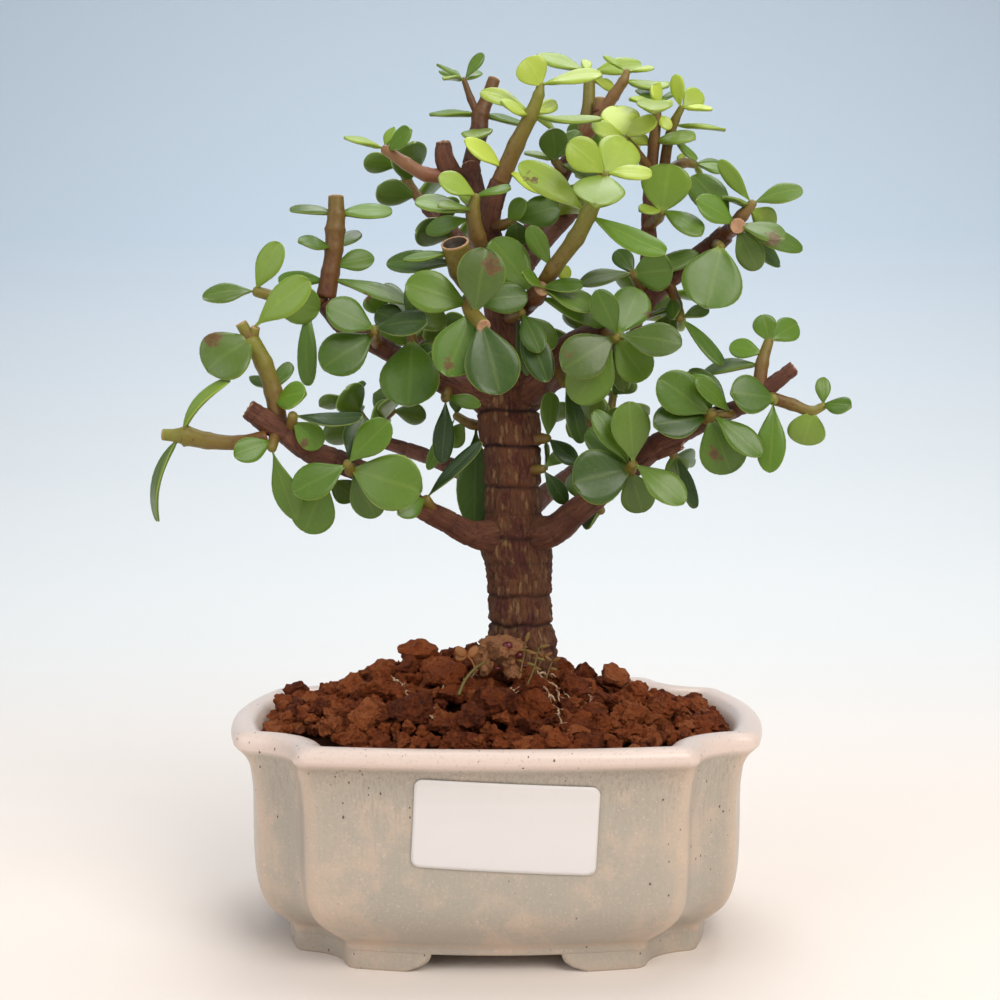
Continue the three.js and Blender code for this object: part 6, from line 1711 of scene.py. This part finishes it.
def sprout():
    """Seedlings, grown: thin soft skin, olive green where alive and orange-brown where it withers."""
    material, node, where = new_material("withering_sprout")
    alive = node("SeparateColor", Color=node("Attribute", {"attribute_name": "sprout"}))
    cloud = node("TexNoise", Vector=where, Scale=1 / (1.5 * MM), Detail=4.0)
    share = node("Math", ADD_CLAMPED, node("Math", MULTIPLY_ADD, cloud, 0.8, -0.4), alive)
    colour = node("Mix", BLEND, Factor=share, A=linear("#8a4f22"), B=linear("#4f5a26"))
    shader = node("BsdfPrincipled", Base_Color=colour, IOR=1.42, Roughness=0.55, Subsurface_Weight=0.1,
                  Subsurface_Scale=0.8 * MM)
    node("OutputMaterial", Surface=shader)
    return material


def seed_coat():
    """A seed's coat, grown: hard, smooth and wine-red, so it shines."""
    material, node, where = new_material("wine_red_seed_coat")
    cloud = node("TexNoise", Vector=where, Scale=1 / (1.2 * MM), Detail=3.0)
    colour = node("Mix", BLEND, Factor=cloud, A=linear("#2c060a"), B=linear("#6a1218"))
    shader = node("BsdfPrincipled", Base_Color=colour, IOR=1.5, Roughness=0.3)
    node("OutputMaterial", Surface=shader)
    return material


def dry_root(settings):
    """Fine dead roots, dried: pale tan, matt, with darker joints along them."""
    material, node, where = new_material("dried_root")
    joint = node("TexNoise", Vector=where, Scale=1 / (2.5 * MM), Detail=4.0, Roughness=0.7)
    share = node("MapRange", SMOOTH, Value=joint, From_Min=0.35, From_Max=0.6)
    colour = node("Mix", BLEND, Factor=share, A=linear("#7d4a33"), B=settings.root)
    bump = node("Bump", Height=joint, Strength=0.8, Distance=0.3 * MM)
    shader = node("BsdfPrincipled", Base_Color=colour, Normal=bump, IOR=1.5, Specular_IOR_Level=0.3,
                  Roughness=0.85)
    node("OutputMaterial", Surface=shader)
    return material


FLOOR_HALF = 3.0
WALL_Y = 1.6
WALL_RISE = 2.2
CORNER_R = 1.2
CORNER_STEPS = 24
# Where the lamps aim, and each lamp: its name, place, width, power and tint.
LAMPS_AIM = (0, 0, 0.13)
LAMPS = [("key", (0.66, -0.98, 1.05), 0.9, 16.2, "#fffaf4"),
         ("fill", (-1.1, -0.9, 0.8), 1.1, 8, "#f2f5fa"),
         ("top", (0.1, 0.35, 1.5), 1.0, 14, "#fafafa")]


def painted_sweep(settings):
    """A painted studio sweep, rolled matt: no gloss, cream in front, off-white where it turns up, and
    pale blue above."""
    material, node, where = new_material("matt_studio_paint")
    axes = node("SeparateXYZ", Vector=where)
    back = node("MapRange", SMOOTH, Value=axes.outputs[1], From_Max=0.7)
    rise = node("MapRange", Value=axes.outputs[2], From_Max=0.42)
    cloud = node("TexNoise", Vector=where, Scale=2.0, Detail=3.0)
    tone = node("Math", MULTIPLY_ADD_CLAMPED, cloud, 0.06, rise)
    low = node("Mix", BLEND, Factor=back, A=settings.floor, B=settings.wall)
    colour = node("Mix", BLEND, Factor=tone, A=low, B=settings.haze)
    shader = node("BsdfPrincipled", Base_Color=colour, Roughness=0.9, Specular_IOR_Level=0.2)
    node("OutputMaterial", Surface=shader)
    return material


class BONSAI_OT_stage(bpy.types.Operator):
    """Set up the pale floor, the soft daylight and the camera"""
    bl_idname = "bonsai.stage"
    bl_label = "Studio"

    def execute(self, context):
        settings = context.scene.bonsai_studio
        scene = context.scene
        # A floor that curves up into a back wall.
        rows = [(-FLOOR_HALF, 0.0), (WALL_Y - CORNER_R, 0.0)]
        for i in range(1, CORNER_STEPS + 1):
            turn = math.pi / 2 * i / CORNER_STEPS
            rows.append((WALL_Y - CORNER_R + CORNER_R * math.sin(turn), CORNER_R * (1 - math.cos(turn))))
        rows.append((WALL_Y, WALL_RISE))
        points = [(x / MM, y / MM, z / MM) for y, z in rows for x in (-FLOOR_HALF, FLOOR_HALF)]
        faces = [[2 * k, 2 * k + 1, 2 * k + 3, 2 * k + 2] for k in range(len(rows) - 1)]
        sweep_obj = new_mesh("studio_sweep", points, faces, [painted_sweep(settings)])
        for name, at, size, power, tint in LAMPS:
            light = bpy.data.lights.new(name, "AREA")
            light.shape = "SQUARE"
            light.size = size
            light.energy = power
            light.color = linear(tint)[:3]
            lamp = bpy.data.objects.new(name, light)
            lamp.location = at
            lamp.rotation_euler = (Vector(LAMPS_AIM) - Vector(at)).to_track_quat("-Z", "Y").to_euler()
            scene.collection.objects.link(lamp)
        world = bpy.data.worlds.new("daylight")
        world.use_nodes = True
        sky = world.node_tree.nodes["Background"]
        sky.inputs["Color"].default_value = linear("#ebeef2")
        sky.inputs["Strength"].default_value = 0.36
        scene.world = world
        camera = bpy.data.cameras.new("camera")
        camera.lens = settings.lens
        camera.sensor_width = 36
        camera.clip_start = 0.01
        eye = bpy.data.objects.new("camera", camera)
        eye.location = EYE * MM
        eye.rotation_euler = (math.pi / 2 - settings.pitch, 0, 0)
        scene.collection.objects.link(eye)
        scene.camera = eye
        scene.view_settings.view_transform = "Standard"
        scene.view_settings.look = "None"
        return {"FINISHED"}


OPERATORS = (BONSAI_OT_stage, BONSAI_OT_pot, BONSAI_OT_soil, BONSAI_OT_wood, BONSAI_OT_leafy_shoots,
             BONSAI_OT_label)
SETTINGS = {"bonsai_pot": PotSettings, "bonsai_soil": SoilSettings, "bonsai_bark": BarkSettings,
            "bonsai_leaf": LeafSettings, "bonsai_label": LabelSettings, "bonsai_studio": StudioSettings}


class BONSAI_PT_panel(bpy.types.Panel):
    """Lists the settings and the steps that dress the tree"""
    bl_idname = "BONSAI_PT_panel"
    bl_label = "Dwarf Jade Bonsai"
    bl_space_type = "VIEW_3D"
    bl_region_type = "UI"
    bl_category = "Bonsai"

    def draw(self, context):
        for name, group in SETTINGS.items():
            box = self.layout.box()
            settings = getattr(context.scene, name)
            for key in group.__annotations__:
                box.prop(settings, key)
        for operator in OPERATORS:
            self.layout.operator(operator.bl_idname)


CLASSES = (*SETTINGS.values(), *OPERATORS, BONSAI_PT_panel)


def register():
    for cls in CLASSES:
        bpy.utils.register_class(cls)
    for name, group in SETTINGS.items():
        setattr(bpy.types.Scene, name, bpy.props.PointerProperty(type=group))


def unregister():
    for name in SETTINGS:
        delattr(bpy.types.Scene, name)
    for cls in reversed(CLASSES):
        bpy.utils.unregister_class(cls)


def main():
    register()
    bpy.ops.bonsai.stage()
    bpy.ops.bonsai.pot()
    bpy.ops.bonsai.soil()
    bpy.ops.bonsai.wood()
    bpy.ops.bonsai.leafy_shoots()
    bpy.ops.bonsai.label()


if __name__ == "__main__":
    main()
